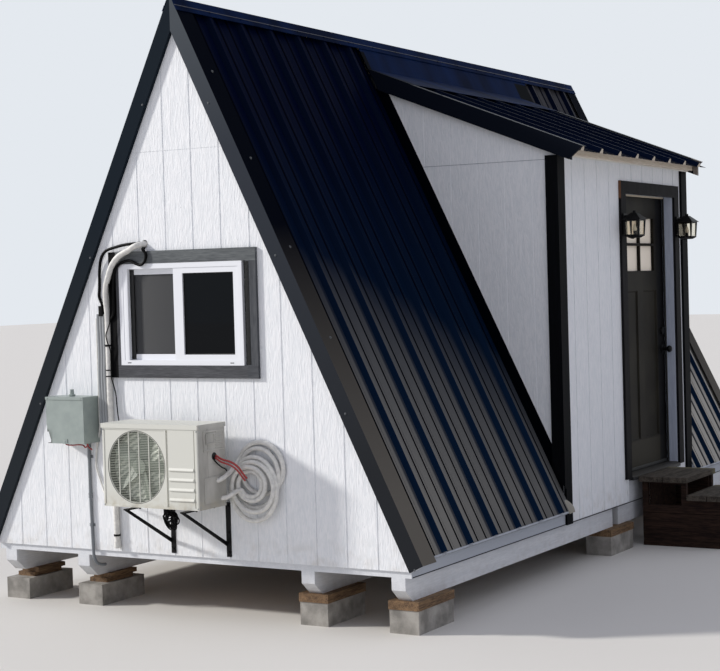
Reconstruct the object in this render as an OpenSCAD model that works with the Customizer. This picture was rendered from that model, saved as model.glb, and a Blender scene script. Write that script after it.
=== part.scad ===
// A-frame cabin on timber skids with a shed dormer over its side door.
// Millimetres. X runs across the gables towards the door side,
// Y runs from the front gable to the rear one, Z is up from the ground.

/* [Cabin] */
// Width of the gable siding at its bottom edge
gable_width = 3066; // [2600:1:3600]
// Length between the faces of the two gables
cabin_length = 5450; // [4600:1:7000]
// Slope of the main roof in degrees
roof_slope = 63.66; // [58:0.01:66]
// Depth of the roof panel inside the siding line
panel_inside = 85; // [60:1:140]
// Depth of the roof panel outside the siding line
panel_outside = 60; // [40:1:90]
// Thickness of the grooved siding
siding_t = 15; // [9:0.5:25]
// Length of a sheet of siding
sheet_len = 2438; // [2000:1:3100]
// Open slot between the dormer's siding and the skids
siding_slot = 8; // [0:1:15]
// Thickness of a whole wall with its siding
wall_t = 115; // [90:1:180]
// Distance between siding grooves
groove_pitch = 203.2; // [100:0.1:305]
// Width of a siding groove
groove_w = 9; // [4:0.5:20]
// Depth of a siding groove
groove_d = 4; // [1:0.5:8]

/* [Base] */
// Height of a concrete block
block_h = 130; // [60:1:200]
// Height of the shim boards on a block
shim_h = 54; // [20:1:80]
// Height of a paver in the place of shims
paver_h = 50; // [20:1:80]
// Height of a skid
skid_h = 140; // [90:1:190]
// Width of a skid
skid_w = 89; // [60:1:140]
// Height of a skid's upright nose
skid_nose = 72; // [30:1:120]
// Distance from the middle to the outer skids
outer_skid = 1436; // [1200:1:1700]
// Distance from the middle to the inner skids
inner_skid = 835; // [400:1:1100]
// Depth of the floor joists
joist_h = 140; // [90:1:240]
// Thickness of a joist or other framing board
joist_t = 38; // [25:1:60]
// Thickness of the floor deck
deck_t = 17; // [12:1:30]
// Height of the siding's bottom edge over the skids
siding_lift = 38; // [20:1:60]
// Thickness of the band along the eaves
band_t = 34; // [19:1:50]

/* [Metal roof] */
// Thickness of the modelled sheet
sheet_t = 2; // [1:0.5:4]
// Height of the main ribs
rib_h = 32; // [15:1:45]
// Distance between the main ribs
rib_pitch = 304.8; // [150:0.1:400]
// Height of the low ribs between the main ones
low_rib_h = 4; // [1:0.5:8]
// Width of a low rib
low_rib_w = 34; // [20:1:50]
// Distance of the first rib from the front gable
first_rib = -6; // [-20:1:100]
// Overhang of the rake trim past the gable
rake_out = 25; // [15:1:60]
// Width of the flange on top of the rake trim
rake_flange = 125; // [60:1:200]
// Leg of the ridge cap down the slope
cap_leg = 90; // [50:1:200]

/* [Dormer] */
// Distance from the front gable to the dormer's near side
dormer_start = 1978; // [1200:1:2600]
// Width of the dormer between its side walls
dormer_width = 2286; // [1800:1:3000]
// Distance of the dormer's front face past the floor frame
dormer_reach = 30; // [20:1:80]
// Height of the dormer's soffit at its front face over the skids
soffit_h = 2438; // [2300:1:2700]
// Least height of siding over the door's frame
least_header = 110; // [60:1:300]
// Slope of the dormer roof in degrees
dormer_slope = 21.2; // [15:0.1:28]
// Thickness of the dormer roof panel
dormer_panel = 75; // [60:1:140]
// Distance from the dormer's front face to its fascia
dormer_eave = 80; // [50:1:200]
// Overhang of the dormer's sheet past the fascia
dormer_lip = 100; // [20:1:150]
// Distance of the dormer's rake trim past its side wall
dormer_rake = 43; // [25:1:90]
// Length of the apron down the dormer's roof
apron_lap = 330; // [100:1:600]
// Length of the apron's wing beyond the dormer
apron_wing = 170; // [60:1:400]
// Width of the corner boards
corner_w = 108; // [60:1:160]
// Thickness of trim boards
trim_t = 19; // [12:1:30]

/* [Door] */
// Distance from the front gable to the middle of the door
door_middle = 3550; // [3200:1:3800]
// Width of the door leaf
door_w = 912; // [700:1:1000]
// Height of the door leaf
door_h = 2027; // [1900:1:2150]
// Thickness of the door leaf
door_t = 44; // [35:1:60]
// Gap round the door leaf
door_gap = 6; // [5:0.5:10]
// Thickness of the door jambs
jamb_t = 30; // [20:1:40]
// Width of the boards round the door
door_trim_w = 89; // [60:1:140]
// Lap of the board over the door's head, past the gap
head_lap = 6; // [-8:1:12]
// Height of the rail between the door's lights and its panels
lock_rail = 144; // [80:1:250]
// Distance of the knob from the leaf's edge
backset = 52; // [45:1:80]
// Height of the knob over the leaf's lower edge
knob_h = 870; // [800:1:1100]
// Width of the door's glazed part
glass_w = 538; // [300:1:700]
// Height of the door's glazed part
glass_h = 396; // [200:1:600]
// Height of the glazed part over the leaf's lower edge
glass_lift = 1470; // [1200:1:1550]
// Angle of the door, 0 is shut
door_angle = 0; // [0:1:100]

/* [Window] */
// Width of the window
window_w = 914; // [600:1:1200]
// Height of the window
window_h = 606; // [400:1:900]
// Height of the window's sill over the skids
window_sill = 1171; // [900:1:1500]
// Dark gap at the right of the window
window_side_gap = 26; // [0:1:40]
// Width of the boards round the window
window_trim_w = 74; // [50:1:120]
// Width of the window's outer frame
frame_w = 30; // [20:1:50]
// Width of the window's sash
sash_w = 36; // [25:1:60]
// Width of the bar in the middle of the window
middle_bar_w = 67; // [45:1:100]

/* [Lanterns] */
// Width of a lantern's cage at its top
lantern_w = 122; // [70:1:200]
// Height of a lantern's cage
lantern_h = 118; // [80:1:250]
// Distance of the lanterns' middle under the top of the door's frame
lantern_drop = 261; // [150:1:700]

/* [Outdoor unit] */
// Width of the outdoor unit
unit_w = 700; // [500:1:900]
// Height of the outdoor unit
unit_h = 482; // [400:1:700]
// Depth of the outdoor unit
unit_d = 250; // [200:1:400]
// Gap between the outdoor unit and the siding
unit_gap = 95; // [50:1:200]
// Distance of the unit's middle from the ridge line
unit_x = 14; // [-300:1:300]
// Height of the unit's underside over the skids
unit_lift = 372; // [250:1:600]
// Radius of the fan's opening
fan_r = 211; // [120:1:215]
// Outer radius of the hung tube coil
coil_r = 252; // [150:1:350]
// Radius of the coil's tube
tube_r = 20; // [10:1:30]
// Outer radius of the pipe over the window
pipe_r = 18; // [10:1:25]
// Distance from the ridge line to the pipe beside the window
pipe_side = 552; // [550:1:700]
// Distance from the ridge line to the pipe's hole in the wall
pipe_in = 262; // [150:1:400]
// Height of the pipe's hole over the skids
pipe_top = 1895; // [1860:1:2100]

/* [Supply box] */
// Width of the supply box
box_w = 296; // [150:1:500]
// Height of the supply box
box_h = 281; // [150:1:500]
// Depth of the supply box
box_d = 140; // [80:1:250]
// Distance from the ridge line to the box's far side
box_left = 955; // [900:1:1100]
// Height of the box over the skids
box_lift = 701; // [500:1:900]
// Radius of the conduit under the box
conduit_r = 9; // [6:1:25]

/* [Steps] */
// Width of the steps
step_w = 600; // [450:1:1000]
// Depth of the top tread
top_tread_d = 366; // [250:1:450]
// Depth of the lower tread
low_tread_d = 300; // [250:1:400]
// Height of the top tread over the skids
top_tread_h = 176; // [120:1:190]
// Height of the lower tread over the skids
low_tread_h = 52; // [-20:1:90]
// Distance from the steps' near end to the middle of the door
step_start = 370; // [200:1:500]

/* [Output] */
// The sub-part to build, all of them by default

/* [Hidden] */

// Levels
skid_z = block_h + shim_h;
base_z = skid_z + skid_h;
joist_top = base_z + joist_h;
deck_top = joist_top + deck_t;
siding_z = base_z + siding_lift;
run = gable_width / 2;
// Space between two pieces that seat on each other
seat = 0.3;
frame_half = run - 9 - band_t;

// Main roof: n is the distance out from the siding line, s the distance up the slope
function roof_x(n, s) = run + n * sin(roof_slope) - s * cos(roof_slope);
function roof_z(n, s) = siding_z + n * cos(roof_slope) + s * sin(roof_slope);
function x_at(n, z) = run + n / sin(roof_slope) - (z - siding_z) / tan(roof_slope);
function peak(n) = siding_z + (run + n / sin(roof_slope)) * tan(roof_slope);
function s_peak(n) = (run + n * sin(roof_slope)) / cos(roof_slope);

sheet_n = panel_outside + sheet_t;
rib_n = sheet_n + rib_h;
rake_n = rib_n + sheet_t;
cap_n = rake_n + sheet_t;
// Half of the cap's flat top, and its height
cap_flat = 12;
cap_top = peak(cap_n) - cap_flat * tan(roof_slope);
metal_foot = 40;
rib_foot = 60;
rib_head = 26;

dormer_rib = 24;

// Door
door_reveal = 8;
frame_side = door_w / 2 + door_gap + jamb_t;
trim_side = door_w / 2 + door_gap + door_reveal + door_trim_w;
sill_top = deck_top + 28;
door_z = sill_top + door_gap - 1;
head_z = door_z + door_h + door_gap + jamb_t;

// Dormer: its face stands past the floor frame, and it takes in the door with its boards
dormer_x = frame_half + dormer_reach;
dormer_end = max(dormer_start + dormer_width, door_middle + trim_side + 30 + corner_w);
soffit_z = max(base_z + soffit_h, head_z + least_header);
// Its roof starts under the ridge, so that a high door makes it flatter
under_ridge = 60;
dormer_pitch = min(dormer_slope,
  atan((peak(panel_outside) - under_ridge - 1.1 * dormer_panel - soffit_z) / dormer_x));
dormer_rise = tan(dormer_pitch);
panel_v = dormer_panel / cos(dormer_pitch);
sheet_v = sheet_t / cos(dormer_pitch);
rib_v = rib_h / cos(dormer_pitch);
// Roof lines as heights over a distance from the ridge
function soffit(x) = soffit_z - (x - dormer_x) * dormer_rise;
function dormer_top(x) = soffit(x) + panel_v;
// Where a line over the dormer by v meets the main roof at n
function meet_x(v, n) = (run + n / sin(roof_slope) - (soffit(0) + v - siding_z) / tan(roof_slope))
  / (1 - dormer_rise / tan(roof_slope));
fascia_x = dormer_x + dormer_eave;
dormer_edge = fascia_x + dormer_lip;

wall_back = dormer_x - wall_t - 14;
door_back = wall_back + 2;
door_face = door_back + door_t;
hinge_x = door_back - 8;
hinge_y = door_middle - door_w / 2 - 3;
hinge_r = 5.5;

module place_on_roof() {
  translate([run, 0, siding_z]) rotate([0, roof_slope - 90, 0]) children();
}

// A flat outline in X and Z drawn out along Y
module along_y(outline, y0, y1) {
  translate([0, y1, 0]) rotate([90, 0, 0]) linear_extrude(y1 - y0) polygon(outline);
}

module box(a, b) {
  translate(a) cube(b - a);
}

// Unit vector, and a smooth curve through a row of points
function unit(v) = v / norm(v);
function bend(p, i, t) = 0.5 * (2 * p[i] + (p[i + 1] - p[i - 1]) * t
  + (2 * p[i - 1] - 5 * p[i] + 4 * p[i + 1] - p[i + 2]) * t * t
  + (3 * p[i] - p[i - 1] - 3 * p[i + 1] + p[i + 2]) * t * t * t);
function curve(p, steps) = concat([for (i = [1 : len(p) - 3], k = [0 : steps - 1]) bend(p, i, k / steps)],
  [p[len(p) - 2]]);

// A round tube of radius r through the points c, with ref as its constant upward side
module sweep(c, r, sides, ref) {
  last = len(c) - 1;
  rings = [for (i = [0 : last])
    let (t = unit(c[min(i + 1, last)] - c[max(i - 1, 0)]), side = unit(cross(t, ref)), up = cross(side, t))
    for (k = [0 : sides - 1]) c[i] + r * (side * cos(360 * k / sides) + up * sin(360 * k / sides))];
  walls = [for (i = [0 : last - 1], k = [0 : sides - 1])
    [i * sides + k, i * sides + (k + 1) % sides, (i + 1) * sides + (k + 1) % sides, (i + 1) * sides + k]];
  polyhedron(rings, concat(walls, [[for (k = [sides - 1 : -1 : 0]) k]],
    [[for (k = [0 : sides - 1]) last * sides + k]]),
    convexity = 6);
}

// A round pipe along a smooth curve, the first and last points only steer it
module pipe(points, r, steps = 3, sides = 8) {
  sweep(curve(points, steps), r, sides, [0.1, 1, 0.2]);
}

module skid(x) {
  nose_run = (skid_h - skid_nose) * 1.1;
  far = cabin_length - siding_t;
  translate([x - skid_w / 2, 0, base_z]) rotate([90, 0, 90]) linear_extrude(skid_w)
    polygon([[siding_t, 0], [siding_t, -skid_nose], [siding_t + nose_run, -skid_h],
      [far - nose_run, -skid_h], [far, -skid_nose], [far, 0]]);
}

// Open joint between the two lengths of the outer skid on the door's side
skid_joint = cabin_length * 0.53;
joint_w = 98;

module skids() {
  color("white") {
    for (x = [-outer_skid, -inner_skid, inner_skid]) skid(x);
    difference() {
      skid(outer_skid);
      box([outer_skid - skid_w, skid_joint - joint_w / 2, 0],
        [outer_skid + skid_w, skid_joint + joint_w / 2, base_z + 1]);
    }
  }
}

block_l = 390;
block_w = 190;
block_rows = [260, skid_joint, cabin_length - 260];

module ground_blocks() {
  color("gray") for (x = [-outer_skid, -inner_skid, inner_skid, outer_skid], y = block_rows)
    translate([x - block_w / 2, y - block_l / 2, 0])
      cube([block_w, block_l, x > 0 ? skid_z - paver_h : block_h]);
}

module shims() {
  color("tan") {
    for (x = [-outer_skid, -inner_skid], y = block_rows, k = [0, 1])
      translate([x - 70 + 15 * k, y - 120 + 20 * k, block_h + k * shim_h / 2]) cube([140, 240,
        shim_h / 2 - 0.3 * (1 - k)]);
    for (x = [inner_skid, outer_skid], y = block_rows)
      translate([x - 100, y - 200, skid_z - paver_h]) cube([200, 400, paver_h]);
  }
}

module floor_frame() {
  color("white") difference() {
    box([-frame_half, siding_t, base_z], [frame_half, cabin_length - siding_t, joist_top]);
    bays = 9;
    bay = (cabin_length - 2 * siding_t - joist_t) / bays;
    for (k = [0 : bays - 1])
      box([-frame_half + joist_t, siding_t + joist_t + k * bay, base_z - 1],
        [frame_half - joist_t, siding_t + (k + 1) * bay, joist_top + 1]);
  }
}

module floor_deck() {
  color("burlywood") difference() {
    box([-frame_half - band_t, siding_t, joist_top],
      [frame_half + band_t, cabin_length - siding_t, deck_top]);
    // The dormer's siding laps over the deck's edge
    box([dormer_x - siding_t, dormer_start, joist_top - 1],
      [frame_half + band_t + 1, dormer_end, deck_top + 1]);
  }
}

// Triangular wall with the siding lapped over the floor and the roof panels' ends
module gable_solid() {
  outer = panel_outside - 1;
  along_y([[-run, siding_z], [run, siding_z], [roof_x(outer, 0), roof_z(outer, 0)], [0, peak(outer)],
    [-roof_x(outer, 0), roof_z(outer, 0)]], 0, siding_t);
  along_y([[-x_at(-panel_inside, deck_top), deck_top], [x_at(-panel_inside, deck_top), deck_top],
    [0, peak(-panel_inside)]], siding_t, wall_t);
}

module gable_grooves() {
  for (k = [-6.5 : 1 : 6.5]) translate([k * groove_pitch - groove_w / 2, -1, siding_z - 1])
    cube([groove_w, groove_d + 1, peak(0)]);
  // Joint between the lower and the upper sheets
  translate([-run, -1, base_z + sheet_len]) cube([2 * run, 3, 3]);
}

window_z = base_z + window_sill;

// Cable beside the pipe
cable_r = 7;
cable_in = -pipe_in - 42;

module front_wall() {
  color("whitesmoke") difference() {
    gable_solid();
    gable_grooves();
    box([-window_w / 2 - 4, -1, window_z], [window_w / 2 + window_side_gap - 2, wall_t + 1,
      window_z + window_h + 4]);
    // Holes for the pipe and the cable beside it
    translate([-pipe_in, -1, base_z + pipe_top]) rotate([-90, 0, 0]) cylinder(r = pipe_r + 6,
      h = wall_t + 2);
    translate([cable_in, -1, base_z + pipe_top + 4]) rotate([-90, 0, 0]) cylinder(r = cable_r + 6,
      h = wall_t + 2);
  }
}

module rear_wall() {
  color("whitesmoke") translate([0, cabin_length, 0]) mirror([0, 1, 0]) difference() {
    gable_solid();
    gable_grooves();
  }
}

function panel_outline() = [[x_at(-panel_inside, deck_top), deck_top],
  [x_at(panel_outside, deck_top), deck_top],
  [0, peak(panel_outside)], [0, peak(-panel_inside)]];

module roof_left() {
  color("tan") mirror([1, 0, 0]) along_y(panel_outline(), siding_t, cabin_length - siding_t);
}

module roof_right_front() {
  color("tan") along_y(panel_outline(), siding_t, dormer_start);
}

module roof_right_rear() {
  color("tan") along_y(panel_outline(), dormer_end, cabin_length - siding_t);
}

module eave_band(y0, y1) {
  foot = roof_z(panel_outside, metal_foot - 10);
  along_y([[frame_half, base_z], [frame_half + band_t, base_z], [frame_half + band_t, foot - 25],
    [x_at(panel_outside, foot), foot], [x_at(panel_outside, joist_top), joist_top],
    [frame_half, joist_top]], y0, y1);
}

module eave_bands() {
  color("white") {
    mirror([1, 0, 0]) eave_band(siding_t, cabin_length - siding_t);
    eave_band(siding_t, dormer_start);
    eave_band(dormer_end, cabin_length - siding_t);
  }
}

// Ribs that fit between y0 and y1, as place, height, foot and head: each main rib and two low ones after it
function rib_row(y0, y1, first) =
  [for (k = [floor((y0 - first) / rib_pitch) : ceil((y1 - first) / rib_pitch)], j = [0 : 2])
    let (y = first + (k + j / 3) * rib_pitch, foot = j == 0 ? rib_foot : low_rib_w)
    if (y - foot / 2 > y0 + 1 && y + foot / 2 < y1 - 1)
      [y, j == 0 ? rib_h : low_rib_h, foot, j == 0 ? rib_head : low_rib_w / 2]];
// Outline of a ribbed sheet across its ribs, as points of height and distance
function sheet_line(y0, y1, first) = concat([[0, y0]],
  [for (r = rib_row(y0, y1, first), p = [[0, -r[2] / 2], [r[1], -r[3] / 2], [r[1], r[3] / 2],
  [0, r[2] / 2]])
    [p[0], r[0] + p[1]]],
  [[0, y1]]);
function reversed(v) = [for (i = [len(v) - 1 : -1 : 0]) v[i]];
module sheet_outline(y0, y1, first) {
  line = sheet_line(y0, y1, first);
  polygon(concat([for (p = line) [p[0] + sheet_t, p[1]]], reversed(line)));
}

module roof_sheet(y0, y1, first) {
  place_on_roof() translate([panel_outside, 0, metal_foot])
    linear_extrude(s_peak(panel_outside) - metal_foot - 10) sheet_outline(y0, y1, first);
}

sheet_end = rake_out - 6;

module metal_left() {
  color("#1b2230") mirror([1, 0, 0]) roof_sheet(-sheet_end, cabin_length + sheet_end, first_rib);
}

module metal_right() {
  color("#1b2230") {
    roof_sheet(-sheet_end, dormer_start - 1, first_rib);
    roof_sheet(dormer_end + 1, cabin_length + sheet_end, dormer_end + rib_foot);
  }
}

module ridge_cap() {
  // One half of the outline, from the middle to the hem that stands out along the lower edge
  hem = 3;
  fold = 0.6 * cap_leg;
  out = [sin(roof_slope), cos(roof_slope)];
  down = [cos(roof_slope), -sin(roof_slope)];
  corner = [cap_flat, cap_top];
  under = sheet_t / sin(roof_slope);
  top = [corner, corner + down * fold, corner + down * (fold + hem) + out * hem,
    corner + down * cap_leg + out * hem];
  low = [corner + down * cap_leg - [under, 0], [cap_flat - under / 3, cap_top - sheet_t]];
  half = concat(top, low);
  color("#232a38") along_y(concat(half, [for (p = reversed(half)) [-p[0], p[1]]]),
    -rake_out - 2, cabin_length + rake_out + 2);
}

// Channel trim that closes the end of the roof
module rake_side() {
  intersection() {
    place_on_roof() linear_extrude(s_peak(rake_n) + 10) union() {
      translate([0, -rake_out]) square([rake_n, 3]);
      translate([0, -rake_out]) square([3, rake_out]);
      translate([rib_n, -rake_out]) square([sheet_t, rake_out + rake_flange]);
    }
    box([0, -rake_out - 1, 0], [2 * run, rake_flange + 1, cap_top - sheet_t - 0.3]);
  }
}

module rake_trims() {
  color("#3a3c40") for (end = [0, 1], side = [0, 1])
    translate([0, end * cabin_length, 0]) mirror([0, end, 0]) mirror([side, 0, 0]) rake_side();
}

// Height of the seam between the sheets of siding on the dormer's sides
side_seam = 2400;

module dormer_side() {
  difference() {
    along_y([[x_at(-panel_inside, deck_top), deck_top], [wall_back, deck_top],
      [wall_back, soffit(wall_back) - seat],
      [0, soffit(0) - seat], [0, peak(-panel_inside)]], 0, wall_t);
    // Fine grooves and the seam in the siding
    for (k = [-1 : 4]) box([dormer_x - 178 - k * groove_pitch - groove_w / 3, -1, deck_top - 1],
      [dormer_x - 178 - k * groove_pitch + groove_w / 3, groove_d / 2, peak(0)]);
    box([0, -1, base_z + side_seam], [dormer_x, 2, base_z + side_seam + 3]);
  }
}

module dormer_side_walls() {
  color("whitesmoke") {
    translate([0, dormer_start, 0]) dormer_side();
    translate([0, dormer_end, 0]) mirror([0, 1, 0]) dormer_side();
  }
}

module dormer_front_part(y0, y1, z0) {
  low = max(z0, deck_top);
  difference() {
    union() {
      if (z0 == 0) along_y([[frame_half, base_z + siding_slot], [dormer_x, base_z + siding_slot],
        [dormer_x, joist_top],
        [frame_half, joist_top]], y0, y1);
      if (z0 == 0) along_y([[dormer_x - siding_t, joist_top], [dormer_x, joist_top], [dormer_x, deck_top],
        [dormer_x - siding_t, deck_top]], y0, y1);
      along_y([[wall_back, low], [dormer_x, low], [dormer_x, soffit(dormer_x) - seat],
        [wall_back, soffit(wall_back) - seat]], y0, y1);
    }
    for (k = [0 : ceil(dormer_width / groove_pitch)])
      translate([dormer_x - groove_d, dormer_start + 26 + k * groove_pitch, base_z - 1]) cube([groove_d + 1, groove_w, soffit_z]);
  }
}

sill_nose = 24;
step_x = dormer_x + sill_nose;

module dormer_front_walls() {
  color("whitesmoke") {
    dormer_front_part(dormer_start, door_middle - frame_side, 0);
    dormer_front_part(door_middle + frame_side, dormer_end, 0);
  }
}

module dormer_header() {
  color("whitesmoke") {
    dormer_front_part(door_middle - frame_side, door_middle + frame_side, head_z);
  }
}

module dormer_roof() {
  color("tan") along_y([[fascia_x - joist_t, soffit(fascia_x - joist_t)],
    [fascia_x - joist_t, dormer_top(fascia_x - joist_t)],
    [meet_x(panel_v, panel_outside), dormer_top(meet_x(panel_v, panel_outside))],
    [0, peak(panel_outside)], [0, soffit(0)]],
    dormer_start, dormer_end);
}

module dormer_metal() {
  x_up = meet_x(panel_v + sheet_v, panel_outside) + 6;
  length = (dormer_edge - x_up) / cos(dormer_pitch);
  color("#1b2230") translate([dormer_edge, 0, dormer_top(dormer_edge)]) rotate([0, dormer_pitch - 90, 0])
    linear_extrude(length) sheet_outline(dormer_start - dormer_rake + trim_t + 0.3,
      dormer_end + dormer_rake - trim_t - 0.3, dormer_start + dormer_rib);
}

// Height of the fascia's lower edge over the soffit's line
fascia_lift = 24;

module dormer_fascia() {
  inner = fascia_x - joist_t + seat;
  color("ivory") along_y([[inner, soffit(fascia_x) + fascia_lift],
    [fascia_x, soffit(fascia_x) + fascia_lift],
    [fascia_x, dormer_top(fascia_x) - 3], [inner, dormer_top(inner) - 3]], dormer_start, dormer_end);
}

// Board with a metal cover along the dormer's sloping edge, to a distance past the sheet's edge
module dormer_rake_board(past) {
  top_v = panel_v + sheet_v + rib_v + seat;
  tip = dormer_edge + past;
  toe = tip - 98;
  back = dormer_edge - 60;
  x_low = meet_x(0, rib_n + 2);
  x_high = meet_x(top_v, rib_n + 2);
  x_mid = meet_x(panel_v - seat, rib_n + 2);
  // Lookout under the sheet and the cover board in front of it
  along_y([[toe, soffit(toe)], [back, soffit(back)], [back, dormer_top(back) - seat],
    [x_mid, dormer_top(x_mid) - seat], [x_low, soffit(x_low)]], -dormer_rake + trim_t - 1, -2.3);
  along_y([[toe, soffit(toe)], [tip, soffit(tip) + top_v], [x_high, soffit(x_high) + top_v],
    [x_low, soffit(x_low)]],
    -dormer_rake, -dormer_rake + trim_t);
  along_y([[tip, soffit(tip) + top_v], [x_high, soffit(x_high) + top_v],
    [x_high, soffit(x_high) + top_v + sheet_v], [tip, soffit(tip) + top_v + sheet_v]], -dormer_rake, 30);
}

module dormer_rake_trims() {
  color("#2b3038") {
    translate([0, dormer_start, 0]) dormer_rake_board(30);
    translate([0, dormer_end, 0]) mirror([0, 1, 0]) dormer_rake_board(-30);
  }
}

module side_flashing() {
  // Upright leg on the dormer's side wall along the main roof
  intersection() {
    place_on_roof() translate([panel_outside + sheet_t, -2, 0]) cube([75, 2, s_peak(0)]);
    along_y([[0, soffit(0)], [dormer_x - 80, soffit(dormer_x - 80)], [dormer_x - 80, 0], [0, 0]], -10, 10);
  }
}

// Apron from under the ridge cap down over the dormer's ribs, with a wing on the main roof beyond the dormer
module apron() {
  low_n = rib_n + seat;
  high_n = rake_n - seat;
  low_v = panel_v + sheet_v + rib_v + sheet_v + 2 * seat;
  x_top = cap_flat + 4;
  x_foot = meet_x(low_v, low_n) + apron_lap;
  x_in = meet_x(low_v, low_n);
  x_out = meet_x(low_v + sheet_v, high_n);
  head = [[x_top, peak(low_n) - x_top * tan(roof_slope)], [x_in, soffit(x_in) + low_v],
    [x_out, soffit(x_out) + low_v + sheet_v], [x_top, peak(high_n) - x_top * tan(roof_slope)]];
  x_wing = x_in + 60;
  y1 = dormer_end + dormer_rake;
  foot = [[x_foot, soffit(x_foot) + low_v], [x_foot, soffit(x_foot) + low_v + sheet_v]];
  along_y([head[0], head[1], foot[0], foot[1], head[2], head[3]], dormer_start - dormer_rake, y1);
  along_y(head, dormer_start, y1 + apron_wing);
  along_y([head[0], [x_wing, peak(low_n) - x_wing * tan(roof_slope)],
    [x_wing, peak(high_n) - x_wing * tan(roof_slope)],
    head[3]], y1 + seat, y1 + apron_wing);
}

module dormer_flashings() {
  color("#161b26") {
    translate([0, dormer_start, 0]) side_flashing();
    translate([0, dormer_end, 0]) mirror([0, 1, 0]) side_flashing();
    apron();
  }
}

module corner_board() {
  low = base_z;
  difference() {
    union() {
      box([dormer_x, -trim_t, low], [dormer_x + trim_t, corner_w - trim_t, soffit(dormer_x + trim_t)]);
      box([dormer_x - 72, -trim_t, siding_z + 60], [dormer_x, 0, soffit(dormer_x + trim_t)]);
    }
    // Cut along the main roof's ribs
    place_on_roof() translate([-200, -100, -100]) cube([200 + rib_n + 2, 100, 1200]);
  }
}

module corner_boards() {
  color("#1d1f24") {
    translate([0, dormer_start, 0]) corner_board();
    translate([0, dormer_end, 0]) mirror([0, 1, 0]) corner_board();
  }
}

module door_frame() {
  y0 = door_middle - door_w / 2 - door_gap;
  y1 = door_middle + door_w / 2 + door_gap;
  top = door_z + door_h + door_gap;
  color("#d9dde6") {
    difference() {
      box([wall_back, y0 - jamb_t, deck_top], [dormer_x, y1 + jamb_t, top + jamb_t]);
      box([wall_back - 1, y0, deck_top - 1], [dormer_x + 1, y1, top]);
    }
    // Stops against which the leaf shuts
    difference() {
      box([door_face + 5, y0 - 1, deck_top], [door_face + 17, y1 + 1, top + 1]);
      box([door_face + 4, y0 + 11, deck_top - 1], [door_face + 18, y1 - 11, top - 11]);
    }
    // Threshold
    along_y([[wall_back, deck_top], [wall_back, sill_top - 8], [wall_back + 20, sill_top],
      [dormer_x, sill_top],
      [dormer_x + sill_nose, sill_top - 10], [dormer_x + sill_nose, deck_top], [dormer_x, deck_top]],
      y0 - 1, y1 + 1);
  }
}

module door_trim() {
  inner = door_w / 2 + door_gap + door_reveal;
  outer = trim_side;
  top = door_z + door_h + door_gap - head_lap;
  color("#2a2828") difference() {
    box([dormer_x, door_middle - outer, sill_top - 12],
      [dormer_x + trim_t, door_middle + outer, top + door_trim_w]);
    box([dormer_x - 1, door_middle - inner, sill_top - 20],
      [dormer_x + trim_t + 1, door_middle + inner, top]);
  }
}

// Opening with the door's angle for everything that swings with it
module swing() {
  translate([hinge_x, hinge_y, 0]) rotate([0, 0, door_angle]) translate([-hinge_x, -hinge_y, 0]) children();
}

glass_z = door_z + glass_lift;

module door_leaf() {
  y0 = door_middle - door_w / 2;
  stile = (door_w - glass_w) / 2;
  mull = 110;
  color("#2b2b29") swing() difference() {
    box([door_back, y0, door_z], [door_face, y0 + door_w, door_z + door_h]);
    // Four lights
    for (i = [0, 1], j = [0, 1])
      translate([door_back - 1, y0 + stile + i * (glass_w / 2 + 8), glass_z + j * (glass_h / 2 + 8)])
        cube([door_t + 2, glass_w / 2 - 8, glass_h / 2 - 8]);
    // Two tall sunk panels on each face
    for (i = [0, 1], face = [door_back - 1, door_face - 9])
      translate([face, y0 + stile - 40 + i * ((glass_w + 80 + mull) / 2), door_z + 220])
        cube([10, (glass_w + 80 - mull) / 2, glass_z - door_z - 220 - lock_rail]);
  }
}

module door_glass() {
  y0 = door_middle - door_w / 2;
  stile = (door_w - glass_w) / 2;
  color("lightblue", 0.4) swing() for (i = [0, 1], j = [0, 1])
    translate([door_face - door_t / 2 - 3, y0 + stile + i * (glass_w / 2 + 8),
      glass_z + j * (glass_h / 2 + 8)])
      cube([6, glass_w / 2 - 8, glass_h / 2 - 8]);
}

module door_lock() {
  y = door_middle + door_w / 2 - backset;
  deadbolt_h = knob_h + 140;
  color("#141414") swing() {
    for (side = [0, 1]) translate([side == 1 ? door_face : door_back, y, 0]) mirror([1 - side, 0, 0]) {
      translate([0, 0, door_z + knob_h]) rotate([0, 90, 0]) {
        cylinder(r = 33, h = 6);
        cylinder(r = 12, h = 52);
        translate([0, 0, 60]) scale([1, 1, 0.8]) sphere(r = 26);
      }
      translate([0, 0, door_z + deadbolt_h]) rotate([0, 90, 0]) cylinder(r = 29, h = 14);
    }
  }
}

hinge_rows = [240, door_h / 2, door_h - 240];
hinge_h = 100;

module door_hinges() {
  color("#1a1a1a") swing() for (h = hinge_rows) translate([0, 0, door_z + h - hinge_h / 6]) {
    translate([hinge_x, hinge_y, 0.4]) cylinder(r = hinge_r, h = hinge_h / 3 - 0.8);
    box([hinge_x, hinge_y + 1, 0.4], [door_back, hinge_y + 36, hinge_h / 3 - 0.4]);
  }
}

module frame_hinges() {
  color("#1a1a1a") for (h = hinge_rows, k = [-1, 1])
    translate([0, 0, door_z + h - hinge_h / 6 + k * hinge_h / 3]) {
    translate([hinge_x, hinge_y, 0]) cylinder(r = hinge_r, h = hinge_h / 3);
    box([hinge_x, hinge_y - 40, 0], [wall_back, hinge_y, hinge_h / 3]);
  }
}

module frame_ring(x0, x1, z0, z1, y0, y1, w) {
  difference() {
    box([x0, y0, z0], [x1, y1, z1]);
    box([x0 + w, y0 - 1, z0 + w], [x1 - w, y1 + 1, z1 - w]);
  }
}

// Bar between the fixed pane and the sliding sash
bar_x0 = -window_w / 20;
bar_x1 = bar_x0 + middle_bar_w;

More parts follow.
